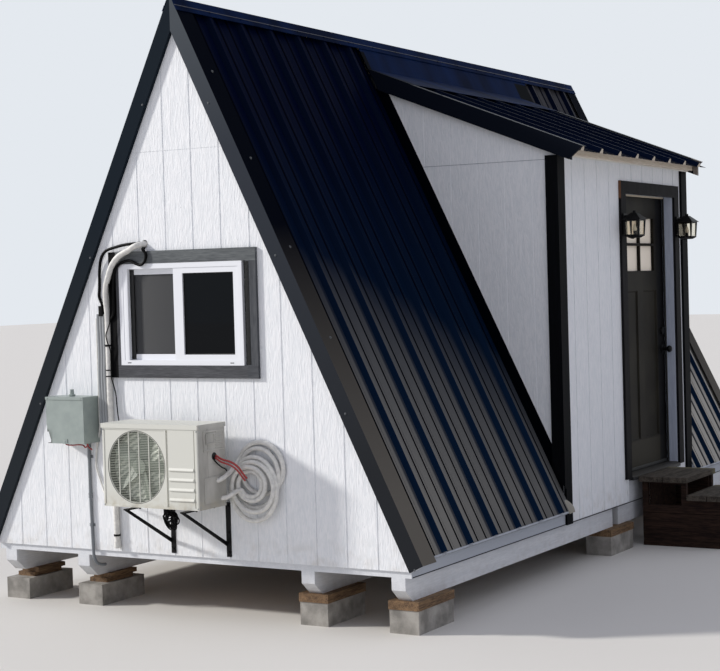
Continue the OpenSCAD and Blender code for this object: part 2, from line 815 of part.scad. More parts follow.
module window_frame() {
  half = window_w / 2;
  z0 = window_z + frame_w - 1;
  z1 = window_z + window_h - frame_w + 1;
  color("white") {
    frame_ring(-half, half, window_z, window_z + window_h, -17, 70, frame_w);
    // Fixed pane's beading, nearly flush with the frame
    difference() {
      box([bar_x0, -13, z0], [half - frame_w + 1, 14, z1]);
      box([bar_x1, -14, z0 + sash_w - 2], [half - frame_w + 1 - sash_w, 15, z1 - sash_w + 2]);
    }
    // Sliding sash behind it
    difference() {
      box([-half + frame_w - 1, 16, z0], [bar_x1 - 4, 42, z1]);
      box([-half + frame_w - 1 + sash_w + 10, 15, z0 + sash_w], [bar_x0 - 1, 43, z1 - sash_w]);
    }
  }
}

module window_glass() {
  half = window_w / 2;
  z0 = window_z + frame_w - 1 + sash_w;
  z1 = window_z + window_h - frame_w + 1 - sash_w;
  color("lightblue", 0.4) {
    box([bar_x1, -2, z0 - 2], [half - frame_w + 1 - sash_w, 4, z1 + 2]);
    box([-half + frame_w + 9 + sash_w, 26, z0], [bar_x0 - 1, 32, z1]);
  }
}

module window_trim() {
  x0 = -window_w / 2 - 1;
  x1 = window_w / 2 + window_side_gap;
  w = window_trim_w;
  color("#35363a") difference() {
    box([x0 - w, -trim_t, window_z - 1 - w], [x1 + w, 0, window_z + window_h + 1 + w]);
    box([x0, -trim_t - 1, window_z - 1], [x1, 1, window_z + window_h + 1]);
  }
}

lantern_z = head_z - lantern_drop;
lantern_ys = [door_middle - trim_side + door_trim_w / 2, door_middle + trim_side - door_trim_w / 2];

// Cage with four open sides, its roof and foot, and the plate and arm that carry it
module lantern(y) {
  stand = lantern_w * 0.67;
  top_r = lantern_w * sqrt(0.5);
  foot_r = top_r * 0.88;
  bar = lantern_w / 16;
  translate([dormer_x + trim_t, y, lantern_z]) {
    translate([0, -30, -70]) cube([12, 60, 150]);
    translate([10, -6, 55]) cube([stand - 10, 12, 12]);
    translate([stand, 0, -95]) cylinder(r1 = foot_r * 0.6, r2 = foot_r, h = 14, $fn = 4);
    translate([stand, 0, -82]) rotate([0, 0, 45]) {
      difference() {
        cylinder(r1 = foot_r, r2 = top_r, h = lantern_h, $fn = 4);
        translate([0, 0, 6]) cylinder(r1 = foot_r - bar, r2 = top_r - bar, h = lantern_h - 12, $fn = 4);
        for (a = [45, 135]) rotate([0, 0, a])
          translate([-lantern_w, bar - foot_r * 0.7, 10])
            cube([2 * lantern_w, foot_r * 1.4 - 2 * bar, lantern_h - 20]);
      }
    }
    translate([stand, 0, lantern_h - 83]) rotate([0, 0, 45])
      cylinder(r1 = top_r * 1.2, r2 = top_r * 0.3, h = 48, $fn = 4);
    translate([stand, 0, lantern_h - 36]) cylinder(r = 12, h = 16);
  }
}

module lanterns() {
  color("#101010") for (y = lantern_ys) lantern(y);
}

unit_z = base_z + unit_lift;
unit_back = -unit_gap;
unit_front = -unit_gap - unit_d;
unit_left = unit_x - unit_w / 2;
unit_right = unit_x + unit_w / 2;
fan_x = unit_left + 250;
fan_z = unit_z + unit_h / 2 - 8;
fan_deep = 60;
// Groove between the fan's panel and the service panel
panel_seam = fan_x + fan_r + 12;
edge_r = 10;
lid_z = unit_z + unit_h - 26;
louvre_pitch = 57;

module unit_casing() {
  slot_w = unit_right - panel_seam - 52;
  color("#d6d3c8") {
    difference() {
      union() {
        translate([unit_left + edge_r, unit_front, unit_z]) cube([unit_w - 2 * edge_r, unit_d, unit_h]);
        translate([unit_left, unit_front + edge_r, unit_z]) cube([unit_w, unit_d - 2 * edge_r, unit_h]);
        for (x = [unit_left + edge_r, unit_right - edge_r], y = [unit_front + edge_r, unit_back - edge_r])
          translate([x, y, unit_z]) cylinder(r = edge_r, h = unit_h);
      }
      translate([fan_x, unit_front - 1, fan_z]) rotate([-90, 0, 0]) cylinder(r = fan_r, h = fan_deep + 1);
      box([panel_seam - 2, unit_front - 1, unit_z + 12], [panel_seam + 12, unit_front + 8, lid_z - 6]);
      // Shallow field round the guard, and the edge of the service panel
      box([unit_left + 16, unit_front - 1, unit_z + 14], [panel_seam - 10, unit_front + 3, lid_z - 8]);
      box([unit_right - 30, unit_front - 1, unit_z + 12], [unit_right - 24, unit_front + 5, lid_z - 6]);
      // Seams of the cover over the valves
      for (z = [unit_z + 60, unit_z + 250])
        box([unit_right - 2, unit_front + 84, z], [unit_right + 1, unit_back - 16, z + 3]);
      box([unit_right - 2, unit_front + 84, unit_z + 60], [unit_right + 1, unit_front + 87, lid_z]);
    }
    // Lid with its lip all round
    box([unit_left - 3, unit_front - 4, lid_z], [unit_right + 3, unit_back + 2, unit_z + unit_h]);
    // Raised louvres
    for (k = [0 : 3]) translate([panel_seam + 18, unit_front, unit_z + 46 + louvre_pitch * k])
      rotate([90, 0, 90]) linear_extrude(slot_w) polygon([[1, 0], [-7, 4], [-7, 8], [-2, 20], [1, 20]]);
  }
}

// Guard of upright bars in a ring, and the fan behind it
module unit_grille() {
  bar = 5;
  bar_pitch = 73.5;
  reach = fan_r - bar / 2;
  color("#c9c6bb") {
    translate([fan_x, unit_front + 9, fan_z]) rotate([90, 0, 0]) {
      rotate_extrude() translate([fan_r - 6.3, 0]) square([6, bar]);
      for (k = [-3 : 2]) let (x = 19 + k * bar_pitch) if (abs(x) < reach)
        translate([x - bar / 2, -sqrt(reach * reach - x * x) + 3, 0])
          cube([bar, 2 * sqrt(reach * reach - x * x) - 6, bar]);
    }
    translate([fan_x, unit_front + fan_deep - seat, fan_z]) rotate([90, 0, 0]) {
      cylinder(r = 44, h = 34);
      for (a = [0 : 72 : 288]) rotate([0, 0, a]) translate([40, 0, 17]) rotate([24, 0, 0])
        translate([0, -38, -2]) cube([fan_r - 56, 76, 4]);
    }
  }
}

arm_out = 70;
bracket_xs = [unit_x - 143, unit_x + 266];

module unit_brackets() {
  front = unit_front - arm_out;
  leg = 320;
  color("#101010") for (x = bracket_xs) {
    box([x, -4, unit_z - leg], [x + 34, 0, unit_z]);
    box([x, front, unit_z - 8], [x + 34, 0, unit_z]);
    translate([x, 0, 0]) rotate([90, 0, 90]) linear_extrude(4)
      polygon([[-2, unit_z - 258], [-2, unit_z - 232], [front + 36, unit_z - 7], [front + 4, unit_z - 7]]);
  }
}

// Distance of the pipe's middle from the siding where it lies on it
pipe_off = -pipe_r - 3 * seat;
over_trim = -trim_t - pipe_r - 4;

module pipe_run() {
  w = window_w / 2 + 1;
  color("#e6e6e2") translate([0, 0, base_z])
    pipe([[-pipe_in, 110, pipe_top], [-pipe_in, 60, pipe_top], [-pipe_in, 10, pipe_top - 1],
      [-pipe_in - 32, over_trim, pipe_top - 10],
      [-pipe_in - 90, over_trim - 4, pipe_top - 36], [-pipe_in - 165, over_trim - 4, pipe_top - 70],
      [-pipe_side + 67, over_trim, pipe_top - 123],
      [-pipe_side + 33, over_trim, pipe_top - 195], [-pipe_side + 10, over_trim + 4, pipe_top - 260],
      [-pipe_side, -28, pipe_top - 340],
      [-pipe_side, pipe_off, pipe_top - 440], [-pipe_side, pipe_off, pipe_top - 900],
      [-pipe_side + 4, pipe_off, 700],
      [-pipe_side + 16, pipe_off, 400], [-pipe_side + 22, pipe_off, 60],
      [-pipe_side + 22, pipe_off, 0]], pipe_r);
}

coil_x = unit_right + 181;
coil_z = base_z + 498;
coil_oval = 0.81;
coil_turns = 2;
coil_pitch = 2 * tube_r + 1;

// One tube wound inwards against the wall and outwards again in front of that layer
function coil_point(a) =
  let (way = coil_turns * 360, in = min(a, 2 * way - a) / 360, r = coil_r - tube_r - coil_pitch * in,
    step = min(1, max(0, (a - way + 20) / 40)))
  [r * cos(a) - (1 - coil_oval) * (coil_r - tube_r) * cos(a),
    -tube_r - seat - step * coil_pitch, r * sin(a)];

module tube_coil() {
  color("#dadad6") translate([coil_x, 0, coil_z])
    sweep([for (a = [0 : 15 : 4 * coil_turns * 180]) coil_point(a)], tube_r, 8, [0, 1, 0]);
}

// A tie round the pipe that holds the thin wire beside it
module pipe_tie(z) {
  difference() {
    union() {
      translate([0, pipe_off, z - 3]) cylinder(r = pipe_r + 1.6, h = 6);
      box([0, -2 * pipe_r - 2, z - 3], [pipe_r + 12, -24, z + 3]);
    }
    translate([0, pipe_off, z - 4]) cylinder(r = pipe_r + seat + 0.2, h = 8);
    box([-2 * pipe_r, -8, z - 4], [2 * pipe_r, 4, z + 4]);
  }
}

module black_cables() {
  wire_r = 3.5;
  bundle_x = unit_x - 14;
  wall_y = -cable_r - 1;
  top = pipe_top;
  color("#0c0c0c") translate([-pipe_side, 0, base_z]) {
    // Thin wire before the pipe, beside it and down to the back of the unit
    pipe([[38, -40, top - 195], [40, -42, top - 233], [42, -44, top - 295], [44, -45, top - 399],
      [36, -44, top - 470],
      [20, -46, top - 510], [8, -46, top - 541], [16, -45, top - 585], [30, -37, top - 633],
      [26, -30, top - 695],
      [26, -30, top - 795], [30, -26, top - 825], [46, -20, top - 895], [52, -20, top - 968],
      [66, -24, unit_lift + 472],
      [120, -60, unit_lift + 408]], wire_r, 3, 6);
    for (z = [top - 754, top - 791]) pipe_tie(z);
    // Cable from the wall to its connector
    pipe([[pipe_side + cable_in, 80, pipe_top + 4], [pipe_side + cable_in, 50, pipe_top + 4],
      [pipe_side + cable_in, 0, pipe_top + 4],
      [pipe_side + cable_in - 24, -24, pipe_top + 3], [pipe_side + cable_in - 84, -26, pipe_top - 1],
      [95, -26, pipe_top - 12],
      [12, -25, top - 33], [-32, -22, top - 78], [-54, -14, top - 148], [-65, wall_y, top - 255],
      [-70, wall_y, top - 303],
      [-58, wall_y - 2, top - 335], [-46, wall_y - 4, top - 353], [-46, wall_y - 4, top - 395],
      [-46, wall_y - 4, top - 445]],
      cable_r, 3, 6);
    translate([-63, -30, top - 427]) cube([34, 30 - seat, 62]);
  }
  low = unit_lift;
  color("#0c0c0c") translate([0, 0, base_z]) {
    // Its end at the back of the unit
    pipe([[-pipe_side + 52, -20, top - 968], [-pipe_side + 66, -24, unit_lift + 472],
      [-pipe_side + 120, -60, unit_lift + 408],
      [unit_left + 20, unit_back + 12, unit_lift + 368], [unit_left + 60, unit_back + 5, unit_lift + 363],
      [unit_left + 84, unit_back + 5, unit_lift + 363]], wire_r, 3, 6);
    // Tied bundle under the unit
    pipe([[bundle_x, -150, low + 20], [bundle_x, -150, low - 1.5], [bundle_x, -151, low - 40],
      [bundle_x - 36, -156, low - 92],
      [bundle_x - 2, -160, low - 136], [bundle_x + 48, -164, low - 110], [bundle_x + 44, -168, low - 60],
      [bundle_x - 4, -172, low - 54], [bundle_x - 30, -177, low - 96], [bundle_x + 12, -181, low - 144],
      [bundle_x + 54, -185, low - 122], [bundle_x + 58, -189, low - 72],
      [bundle_x + 74, -192, low - 52]], 5, 3, 6);
    translate([bundle_x - 24, -196, low - 62]) cube([34, 50, 34]);
    // Spare end of a wire beside the coil
    pipe([[unit_right - 40, -212, low + 292], [unit_right + 2.5, -212, low + 291],
      [unit_right + 8, -206, low + 268],
      [unit_right + 22, -172, low + 232], [unit_right + 40, -152, low + 216],
      [unit_right + 43, -146, low + 203],
      [unit_right + 44, -144, low + 188]], 4, 3, 6);
  }
}

module red_wires() {
  low = unit_lift;
  box_x = -box_left + box_w;
  color("#b03a3a") translate([0, 0, base_z]) {
    pipe([[unit_right - 40, -192, low + 298], [unit_right + 4, -192, low + 296],
      [unit_right + 26, -166, low + 273],
      [unit_right + 72, -142, low + 255], [unit_right + 106, -122, low + 225],
      [unit_right + 130, -108, low + 185],
      [unit_right + 150, -102, low + 158], [unit_right + 160, -100, low + 138]], 6, 3, 6);
    pipe([[box_x - 40, -70, box_lift + 20], [box_x - 36, -70, box_lift - 1.5],
      [box_x - 26, -74, box_lift - 24],
      [box_x + 2, -76, box_lift - 40], [box_x + 10, -76, box_lift - 50]], 4, 3, 6);
  }
}

// Box with a hooded front whose lower corner is bent open, on a conduit
module supply_box() {
  x0 = -box_left;
  x1 = x0 + box_w;
  z0 = base_z + box_lift;
  z1 = z0 + box_h;
  sheet = 3;
  color("#96a29c") {
    difference() {
      box([x0, -box_d, z0], [x1, 0, z1]);
      box([x0 + sheet, -box_d + sheet, z0 + sheet], [x1 - sheet, -sheet, z1 - sheet]);
      // Bent corner
      along_y([[x0 - 1, z0 - 1], [x0 + 40, z0 - 1], [x0 - 1, z0 + 117]], -box_d - 1, -box_d + sheet + 1);
      box([x0 - 1, -box_d - 1, z0 - 1], [x0 + sheet + 1, -box_d + 34, z0 + 70]);
    }
    // Hood with its lip
    box([x0 - 2, -box_d - 4, z1 - 15], [x1 + 2, 0, z1 + 2]);
    translate([x0 + box_w / 2, -box_d / 2, z1 - 2]) cylinder(r = 17, h = 14);
    translate([x0 + box_w / 2, -box_d / 2, z1 + 10]) cylinder(r = 12, h = 34);
    // Conduit down the wall and back under the floor
    cx = x0 + box_w - 82;
    cy = -conduit_r - 1;
    translate([0, 0, base_z]) pipe([[cx, cy, box_lift + 60], [cx, cy, box_lift + 4],
      [cx, cy, box_lift * 0.6], [cx + 6, cy, 120],
      [cx + 10, cy, 20], [cx + 14, cy + 4, -20], [cx + 18, cy + 30, -52], [cx + 21, cy + 90, -66],
      [cx + 22, cy + 160, -68]],
      conduit_r, 3, 8);
  }
}

step_y = door_middle - step_start;
// Depth of the boards' upper edge under the top of the skids
board_drop = 29;

module step_carcass() {
  x0 = step_x;
  x1 = x0 + top_tread_d;
  x2 = x1 + low_tread_d;
  t = joist_t;
  color("#5b4a40") {
    for (y = [step_y + 20, step_y + step_w - 20 - t]) difference() {
      along_y([[x0 + 20, 0], [x2 - 30, 0], [x2 - 30, base_z + low_tread_h - t],
        [x1 - 10, base_z + low_tread_h - t],
        [x1 - 10, base_z + top_tread_h - t], [x0 + 20, base_z + top_tread_h - t]], y, y + t);
      box([x0 + 20 + t, y - 1, base_z - board_drop],
        [x1 - 10 - t, y + t + 1, base_z + top_tread_h - t - 12]);
    }
    box([x0 + 20, step_y + 20 + t - 1, 60], [x0 + 20 + t, step_y + step_w - 20 - t + 1, 200]);
    box([x2 - 30 - t, step_y + 20 + t - 1, 0], [x2 - 30, step_y + step_w - 20 - t + 1, 120]);
  }
}

module step_treads() {
  x0 = step_x;
  x1 = x0 + top_tread_d;
  x2 = x1 + low_tread_d;
  gap = 8;
  color("#77726c") {
    for (k = [0, 1]) {
      half = (top_tread_d - gap) / 2;
      box([x0 + k * (half + gap), step_y, base_z + top_tread_h - joist_t],
        [x0 + k * (half + gap) + half, step_y + step_w, base_z + top_tread_h]);
    }
    for (k = [0, 1]) {
      half = (low_tread_d - gap) / 2;
      box([x1 + k * (half + gap), step_y, base_z + low_tread_h - joist_t],
        [x1 + k * (half + gap) + half, step_y + step_w, base_z + low_tread_h]);
    }
  }
}

// Own frame: the middle of everything in plan, with the ground at zero
x_low = -roof_x(rake_n, 0);
x_high = step_x + top_tread_d + low_tread_d;
y_low = unit_front - arm_out;
y_high = cabin_length + rake_out + 2;

translate([-(x_low + x_high) / 2, -(y_low + y_high) / 2, 0]) {
  skids();
  ground_blocks();
  shims();
  floor_frame();
  floor_deck();
  front_wall();
  rear_wall();
  roof_left();
  roof_right_front();
  roof_right_rear();
  eave_bands();
  metal_left();
  metal_right();
  ridge_cap();
  rake_trims();
  dormer_side_walls();
  dormer_front_walls();
  dormer_header();
  dormer_roof();
  dormer_metal();
  dormer_fascia();
  dormer_rake_trims();
  dormer_flashings();
  corner_boards();
  door_frame();
  door_trim();
  window_trim();
  door_leaf();
  door_glass();
  door_lock();
  door_hinges();
  frame_hinges();
  window_frame();
  window_glass();
  lanterns();
  unit_casing();
  unit_grille();
  unit_brackets();
  pipe_run();
  tube_coil();
  black_cables();
  red_wires();
  supply_box();
  step_carcass();
  step_treads();
}
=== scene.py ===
import math
import bmesh
import bpy
import numpy as np
from mathutils import Matrix, Vector


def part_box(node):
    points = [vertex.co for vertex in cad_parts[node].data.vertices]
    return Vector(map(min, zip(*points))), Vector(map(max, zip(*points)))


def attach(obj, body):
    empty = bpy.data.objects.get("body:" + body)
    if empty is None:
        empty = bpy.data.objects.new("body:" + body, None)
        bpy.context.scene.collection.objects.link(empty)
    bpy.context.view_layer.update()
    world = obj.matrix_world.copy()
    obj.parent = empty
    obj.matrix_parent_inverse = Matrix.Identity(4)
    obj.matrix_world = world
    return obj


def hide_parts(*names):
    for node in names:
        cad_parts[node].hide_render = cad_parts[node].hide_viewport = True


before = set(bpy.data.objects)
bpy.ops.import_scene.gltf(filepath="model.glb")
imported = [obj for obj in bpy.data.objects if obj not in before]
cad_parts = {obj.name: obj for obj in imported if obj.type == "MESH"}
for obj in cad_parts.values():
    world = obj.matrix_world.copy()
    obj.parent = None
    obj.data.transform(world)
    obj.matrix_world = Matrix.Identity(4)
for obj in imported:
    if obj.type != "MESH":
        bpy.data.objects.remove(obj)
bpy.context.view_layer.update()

# Photo's standpoint: a long lens from low down on the door's side of the front gable.
# The view is measured from the ridge, the face of the front gable and the top of the skids.
front_low, front_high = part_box("front_wall")
ridge_x = (front_low.x + front_high.x) / 2
gable_y = front_low.y
skid_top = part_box("skids")[1].z
yaw, pitch, roll = math.radians(27.66), math.radians(-1.63), math.radians(-1.49)
forward = Vector((-math.sin(yaw) * math.cos(pitch), math.cos(yaw) * math.cos(pitch), math.sin(pitch)))
level = Vector((math.cos(yaw), math.sin(yaw), 0))
upright = level.cross(forward)
right = math.cos(roll) * level + math.sin(roll) * upright
above = math.cos(roll) * upright - math.sin(roll) * level
lens = bpy.data.cameras.new("camera")
lens.lens = 79.6
lens.sensor_width = 36
lens.shift_x = -0.199
lens.shift_y = -0.0178
lens.clip_end = 200
camera = bpy.data.objects.new("camera", lens)
bpy.context.scene.collection.objects.link(camera)
stand = Matrix((right, above, -forward)).transposed().to_4x4()
stand.translation = Vector((ridge_x + 6.034, gable_y - 7.433, skid_top + 1.640))
camera.matrix_world = stand
bpy.context.scene.camera = camera


# Room round the cabin: a plain pale floor, a soft key lamp from the front left
# and an even, slightly cool light from all round.
def linear(code):
    """An sRGB hex colour as linear red, green, blue and 1: c / 12.92 up to c = 0.04045,
    and ((c + 0.055) / 1.055) ** 2.4 above it."""
    parts = [int(code[i:i + 2], 16) / 255 for i in (1, 3, 5)]
    return tuple(c / 12.92 if c < 0.04045 else ((c + 0.055) / 1.055) ** 2.4 for c in parts) + (1,)


def lead(value, socket):
    """Gives a socket a number, a hex colour, another socket's value or the first open output of a node."""
    if isinstance(value, bpy.types.Node):
        value = next(output for output in value.outputs if output.enabled)
    if isinstance(value, bpy.types.NodeSocket):
        tree.links.new(value, socket)
    elif value is not None:
        socket.default_value = linear(value) if isinstance(value, str) else value


def add(kind, *inputs, **more):
    """Adds one node to the tree in hand. The inputs fill its open sockets in their order; of the rest,
    capitalised names are sockets too and lower-case names are the node's settings."""
    made = tree.nodes.new("ShaderNode" + kind)
    for name in filter(str.islower, more):
        setattr(made, name, more[name])
    for socket, value in zip([socket for socket in made.inputs if socket.enabled], inputs):
        lead(value, socket)
    for name in more:
        if not name.islower():
            lead(more[name], made.inputs[name])
    return made


def finish_of(name, colour, roughness, specular=0.5, **sockets):
    """Starts a material with one Principled shader. Its tree and shader stay in hand for the maps that follow."""
    global tree, shader
    made = bpy.data.materials.new(name)
    made.use_nodes = True
    tree = made.node_tree
    tree.nodes.clear()
    shader = add("BsdfPrincipled", **{"Base Color": colour, "Roughness": roughness, "Specular IOR Level": specular},
                 **sockets)
    add("OutputMaterial", shader)
    return made


reach = 60
corners = [(x, y, 0) for x, y in ((-reach, -reach), (reach, -reach), (reach, reach), (-reach, reach))]
floor_mesh = bpy.data.meshes.new("floor")
floor_mesh.from_pydata(corners, [], [(0, 1, 2, 3)])
floor = bpy.data.objects.new("floor", floor_mesh)
bpy.context.scene.collection.objects.link(floor)
floor_mesh.materials.append(finish_of("floor paint", "#d6d3cd", 0.9))
key = bpy.data.lights.new("key", "SUN")
key.energy = 3.45
key.angle = math.radians(5)
key.color = (1, 0.97, 0.93)
key_lamp = bpy.data.objects.new("key", key)
key_lamp.rotation_euler = Vector((0.83, 0.37, -0.42)).to_track_quat("-Z", "Y").to_euler()
bpy.context.scene.collection.objects.link(key_lamp)
world = bpy.data.worlds.new("world")
bpy.context.scene.world = world
world.use_nodes = True
tree = world.node_tree
tree.nodes.clear()
rays = add("LightPath").outputs
straight = add("Math", rays["Is Camera Ray"], rays["Is Transmission Ray"], operation="MAXIMUM")
shown = add("Math", straight, rays["Is Glossy Ray"], operation="MAXIMUM")
round_light = add("Background", (0.84, 0.865, 1.0, 1), 0.62)
backdrop = add("Background", "#e4e9ef", 1.0)
add("OutputWorld", add("MixShader", shown, round_light, backdrop))
bpy.context.scene.view_settings.view_transform = "Standard"

# Footing: cast concrete blocks on the slope with rough pine shims driven in on them. Every place from
# here on is in millimetres from the ridge's line, the front gable's face and the ground.
datum = np.array([ridge_x, gable_y, 0.0])


def dress(made, *names):
    """Gives CAD nodes a material in all their slots."""
    for name in names:
        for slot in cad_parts[name].material_slots:
            slot.material = made


def noise(size, stretch=(1, 1, 1), detail=4.0, seed=0.0, **values):
    """Noise whose spots are about `size` millimetres across, drawn out by `stretch` along x, y and z."""
    laid = add("Mapping", add("TexCoord").outputs["Object"],
               Scale=[1000 / (size * s) for s in stretch], Location=(seed, seed * 2, seed * 3))
    return add("TexNoise", laid, Scale=1.0, Detail=detail, **values)


def tones(part, first, second, low=0.0, high=1.0):
    """The first colour where a pattern or zone is below `low`, the second above `high`, and a mix between them."""
    return add("Mix", add("MapRange", part, low, high), first, second, data_type="RGBA")


def surface(colour, height, depth, strength=1.0):
    """Leads a colour, and a height from 0 to 1 as relief of a depth in millimetres, to the shader in hand."""
    lead(colour, shader.inputs["Base Color"])
    lead(add("Bump", Strength=strength, Distance=depth / 1000, Height=height), shader.inputs["Normal"])


def grain(axis, width, seed=0.0):
    """Height of wood grain along an axis: fibres `width` mm wide and twelve times as long, over broader streaks."""
    fibre, streak = [1, 1, 1], [1, 1, 1]
    fibre[axis], streak[axis] = 12, 16
    fine = add("Math", noise(width, fibre, 3.0, seed, Distortion=0.3), 0.6, operation="MULTIPLY")
    broad = add("Math", noise(width * 5, streak, 2.0, seed + 4), 0.4, operation="MULTIPLY")
    return add("Math", fine, broad, operation="ADD")


# Cast concrete: dull and pitted, which gives a dusty, blotched grey. Pits 8 mm across.
concrete = finish_of("cast concrete", "#8e8a83", 0.93)
surface(tones(noise(90, seed=2.0), "#7b7872", "#a39f98", 0.35, 0.65), noise(8, detail=5.0), 3)
dress(concrete, "ground_blocks")
# Sawn pine left bare outdoors: dark brown, furry, with open grain 5 mm wide.
bare_pine = finish_of("weathered sawn pine", "#6b5138", 0.85)
height = grain(1, 5, 3.0)
surface(tones(height, "#4c3826", "#84684a", 0.4, 0.6), height, 1.5)
dress(bare_pine, "shims")


# Floor frame: skids, bands and joists of sawn timber, brushed white over the saw marks. The lowest
# hand's breadth is splashed with earth. Grain 5 mm wide, drawn a little coarser than real.
def zone(*passages, within=None):
    """1 in one part of the object and 0 elsewhere: each passage (axis, start, end) rises straight from 0 to 1
    between two places, and the zone is their product, times another zone or pattern where one is given."""
    for axis, start, end in passages:
        place = add("SeparateXYZ", add("TexCoord").outputs["Object"]).outputs[axis]
        rise = add("MapRange", place, datum[axis] + start / 1000, datum[axis] + end / 1000)
        within = add("Math", within, rise, operation="MULTIPLY") if within else rise
    return within


white_timber = finish_of("brush-painted sawn timber", "#d5d7da", 0.62)
height = grain(1, 6)
paint = tones(height, "#cfd2d6", "#dcdee1", 0.42, 0.62)
# The eave bands' outer faces are coloured a darker grey as painted shade.
shaded_eave_faces = add("Math", zone((0, 1519, 1523)), zone((0, -1519, -1523)), operation="MAXIMUM")
earth = zone((2, 330, 190), within=add("MapRange", noise(45, seed=5.0), 0.42, 0.72, 0.1, 0.3))
surface(tones(earth, tones(shaded_eave_faces, paint, "#adb2ba"), "#9c9080"), height, 1.4)
dress(white_timber, "skids", "floor_frame", "eave_bands")


def piece(name, grids, made, body="cabin", crease=32):
    """One mesh from grids of points: every cell is a face, seams and poles are merged and faces turned outwards."""
    points, quads, start = [], [], 0
    for grid in grids:
        grid = np.asarray(grid, float)
        rows, columns = grid.shape[-3:-1]
        copies = grid.size // (3 * rows * columns)
        cell = (np.arange(rows - 1)[:, None] * columns + np.arange(columns - 1))[..., None]
        cell = cell + np.array([0, 1, columns + 1, columns])
        quads.append((start + rows * columns * np.arange(copies)[:, None, None, None] + cell).reshape(-1, 4))
        points.append(grid.reshape(-1, 3))
        start += rows * columns * copies
    mesh = bpy.data.meshes.new(name)
    mesh.from_pydata((np.concatenate(points) / 1000 + datum).tolist(), [], np.concatenate(quads).tolist())
    work = bmesh.new()
    work.from_mesh(mesh)
    bmesh.ops.remove_doubles(work, verts=work.verts, dist=2e-6)
    bmesh.ops.recalc_face_normals(work, faces=work.faces)
    work.to_mesh(mesh)
    work.free()
    mesh.shade_smooth()
    mesh.set_sharp_from_angle(angle=math.radians(crease))
    mesh.materials.append(made)
    new = bpy.data.objects.new(name, mesh)
    bpy.context.scene.collection.objects.link(new)
    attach(new, body)
    return new


def turned(profile, sides=12):
    """A turned shape about z: each (radius, height) of the profile goes round as (r cos a, r sin a, h)."""
    radius, height = np.asarray(profile, float).T[:, :, None]
    angle = np.linspace(0, 2 * np.pi, sides + 1)
    return np.stack(np.broadcast_arrays(radius * np.cos(angle), radius * np.sin(angle), height), -1)


def placed(shape, spots, axis):
    """Copies of a shape at many spots, its z axis laid along `axis` (one direction, or one for each spot)."""
    axis = np.broadcast_to(np.asarray(axis, float), np.shape(spots))
    axis = axis / np.linalg.norm(axis, axis=-1, keepdims=True)
    side = np.cross(axis, (0.31, 0.22, 0.92))
    side /= np.linalg.norm(side, axis=-1, keepdims=True)
    turn = np.stack([side, np.cross(axis, side), axis], 1)
    return np.asarray(spots, float)[:, None, None] + np.einsum("ijk,nkl->nijl", shape, turn)


def lattice(*ways):
    """Every combination of the given x, y and z values as a list of points."""
    grid = np.meshgrid(*map(np.atleast_1d, ways), indexing="ij")
    return np.stack([way.ravel() for way in grid], -1).astype(float)


# Framing nails driven flush through the bands into each joist and brushed over: heads 9 mm across.
# The joists stand 16 inches apart, and the right band has none behind the dormer.
nail = turned([(0, 0.9), (3.2, 0.8), (4.4, 0.2), (4.4, -0.6), (0, -0.6)], 10)
joists = np.arange(120, 5400, 406.4)
band_nails = [placed(nail, lattice([side * 1524], spots, [348, 378, 408]), (side, 0, 0))
              for side, spots in ((-1, joists), (1, joists[(joists < 1950) | (joists > 4300)]))]
piece("band_nails", band_nails, white_timber)


def carried(outline, axis, start, end):
    """A flat outline carried along an axis with its ends closed: its points (u, v) lie in the other two axes."""
    u, v = [k for k in range(3) if k != axis]
    ring = np.asarray(outline, float)
    ring = np.concatenate([ring, ring[:1]])
    middle = np.repeat(ring[:-1].mean(0)[None], len(ring), 0)
    rings = np.zeros((4, len(ring), 3))
    for row, (flat, place) in enumerate(((middle, start), (ring, start), (ring, end), (middle, end))):
        rings[row, :, u], rings[row, :, v], rings[row, :, axis] = flat[:, 0], flat[:, 1], place
    return rings


def plain_finish(name, colour, roughness, size, depth, detail=2.0, **sockets):
    """A material of one colour with a fine relief: spots `size` millimetres across, `depth` millimetres deep."""
    made = finish_of(name, colour, roughness, **sockets)
    surface(None, noise(size, detail=detail), depth)
    return made


# The frame stands on the skids. A strip of dull black felt along the joint is a painted shadow: it draws the groove's
# shade as a dark line.
shadow_line_felt = plain_finish("black felt as painted shadow line", "#15161a", 0.9, 4, 0.6, detail=3.0)
shadow_lines = [carried([(side * x, h) for x, h in ((1522.5, 325), (1524.7, 325), (1524.7, 331), (1522.5, 331))],
                 1, 22, 5428) for side in (-1, 1)]
piece("sill_shadow_lines", shadow_lines, shadow_line_felt)

# Deck: plywood sheets screwed on the joists, seen through the open door. Sanded and bare, with the face
# grain across the joists; at the door its edge is painted as the frame is.
plywood = finish_of("sanded plywood", "#a8875c", 0.55)
height = grain(0, 9, 5.0)
veneer = tones(height, "#8d6d45", "#b8976a", 0.4, 0.62)
surface(tones(zone((0, 1441, 1442)), veneer, "#cfd2d7"), height, 0.4)
dress(plywood, "floor_deck")

# Walls: sheets of engineered siding pressed with a cedar grain and cut with upright grooves, rolled white.
# The pressed fibres are 10 mm wide and 60 mm long and take the light as upright strokes. Nailed to the studs.
siding = finish_of("rolled white paint on pressed wood siding", "#e2e5ea", 0.6)
fibres = add("Math", noise(13, (1, 1, 6), 3.5, 1.0, Distortion=1.3), 0.7, operation="MULTIPLY")
knots = add("Math", noise(45, (1, 1, 4), 2.0, 6.0, Distortion=2.0), 0.3, operation="MULTIPLY")
height = add("Math", fibres, knots, operation="ADD")
splash = zone((2, 560, 350), within=add("MapRange", noise(70, seed=8.0), 0.45, 0.75, 0, 0.35))
surface(tones(splash, tones(height, "#e1e4e7", "#ecedef", 0.4, 0.6), "#a89c86"), height, 4.4)
dress(siding, "front_wall", "rear_wall", "dormer_side_walls", "dormer_front_walls", "dormer_header")
foot_x, foot_z, steepness = 1533, 362, 2.0198
groove_pitch = 203.2


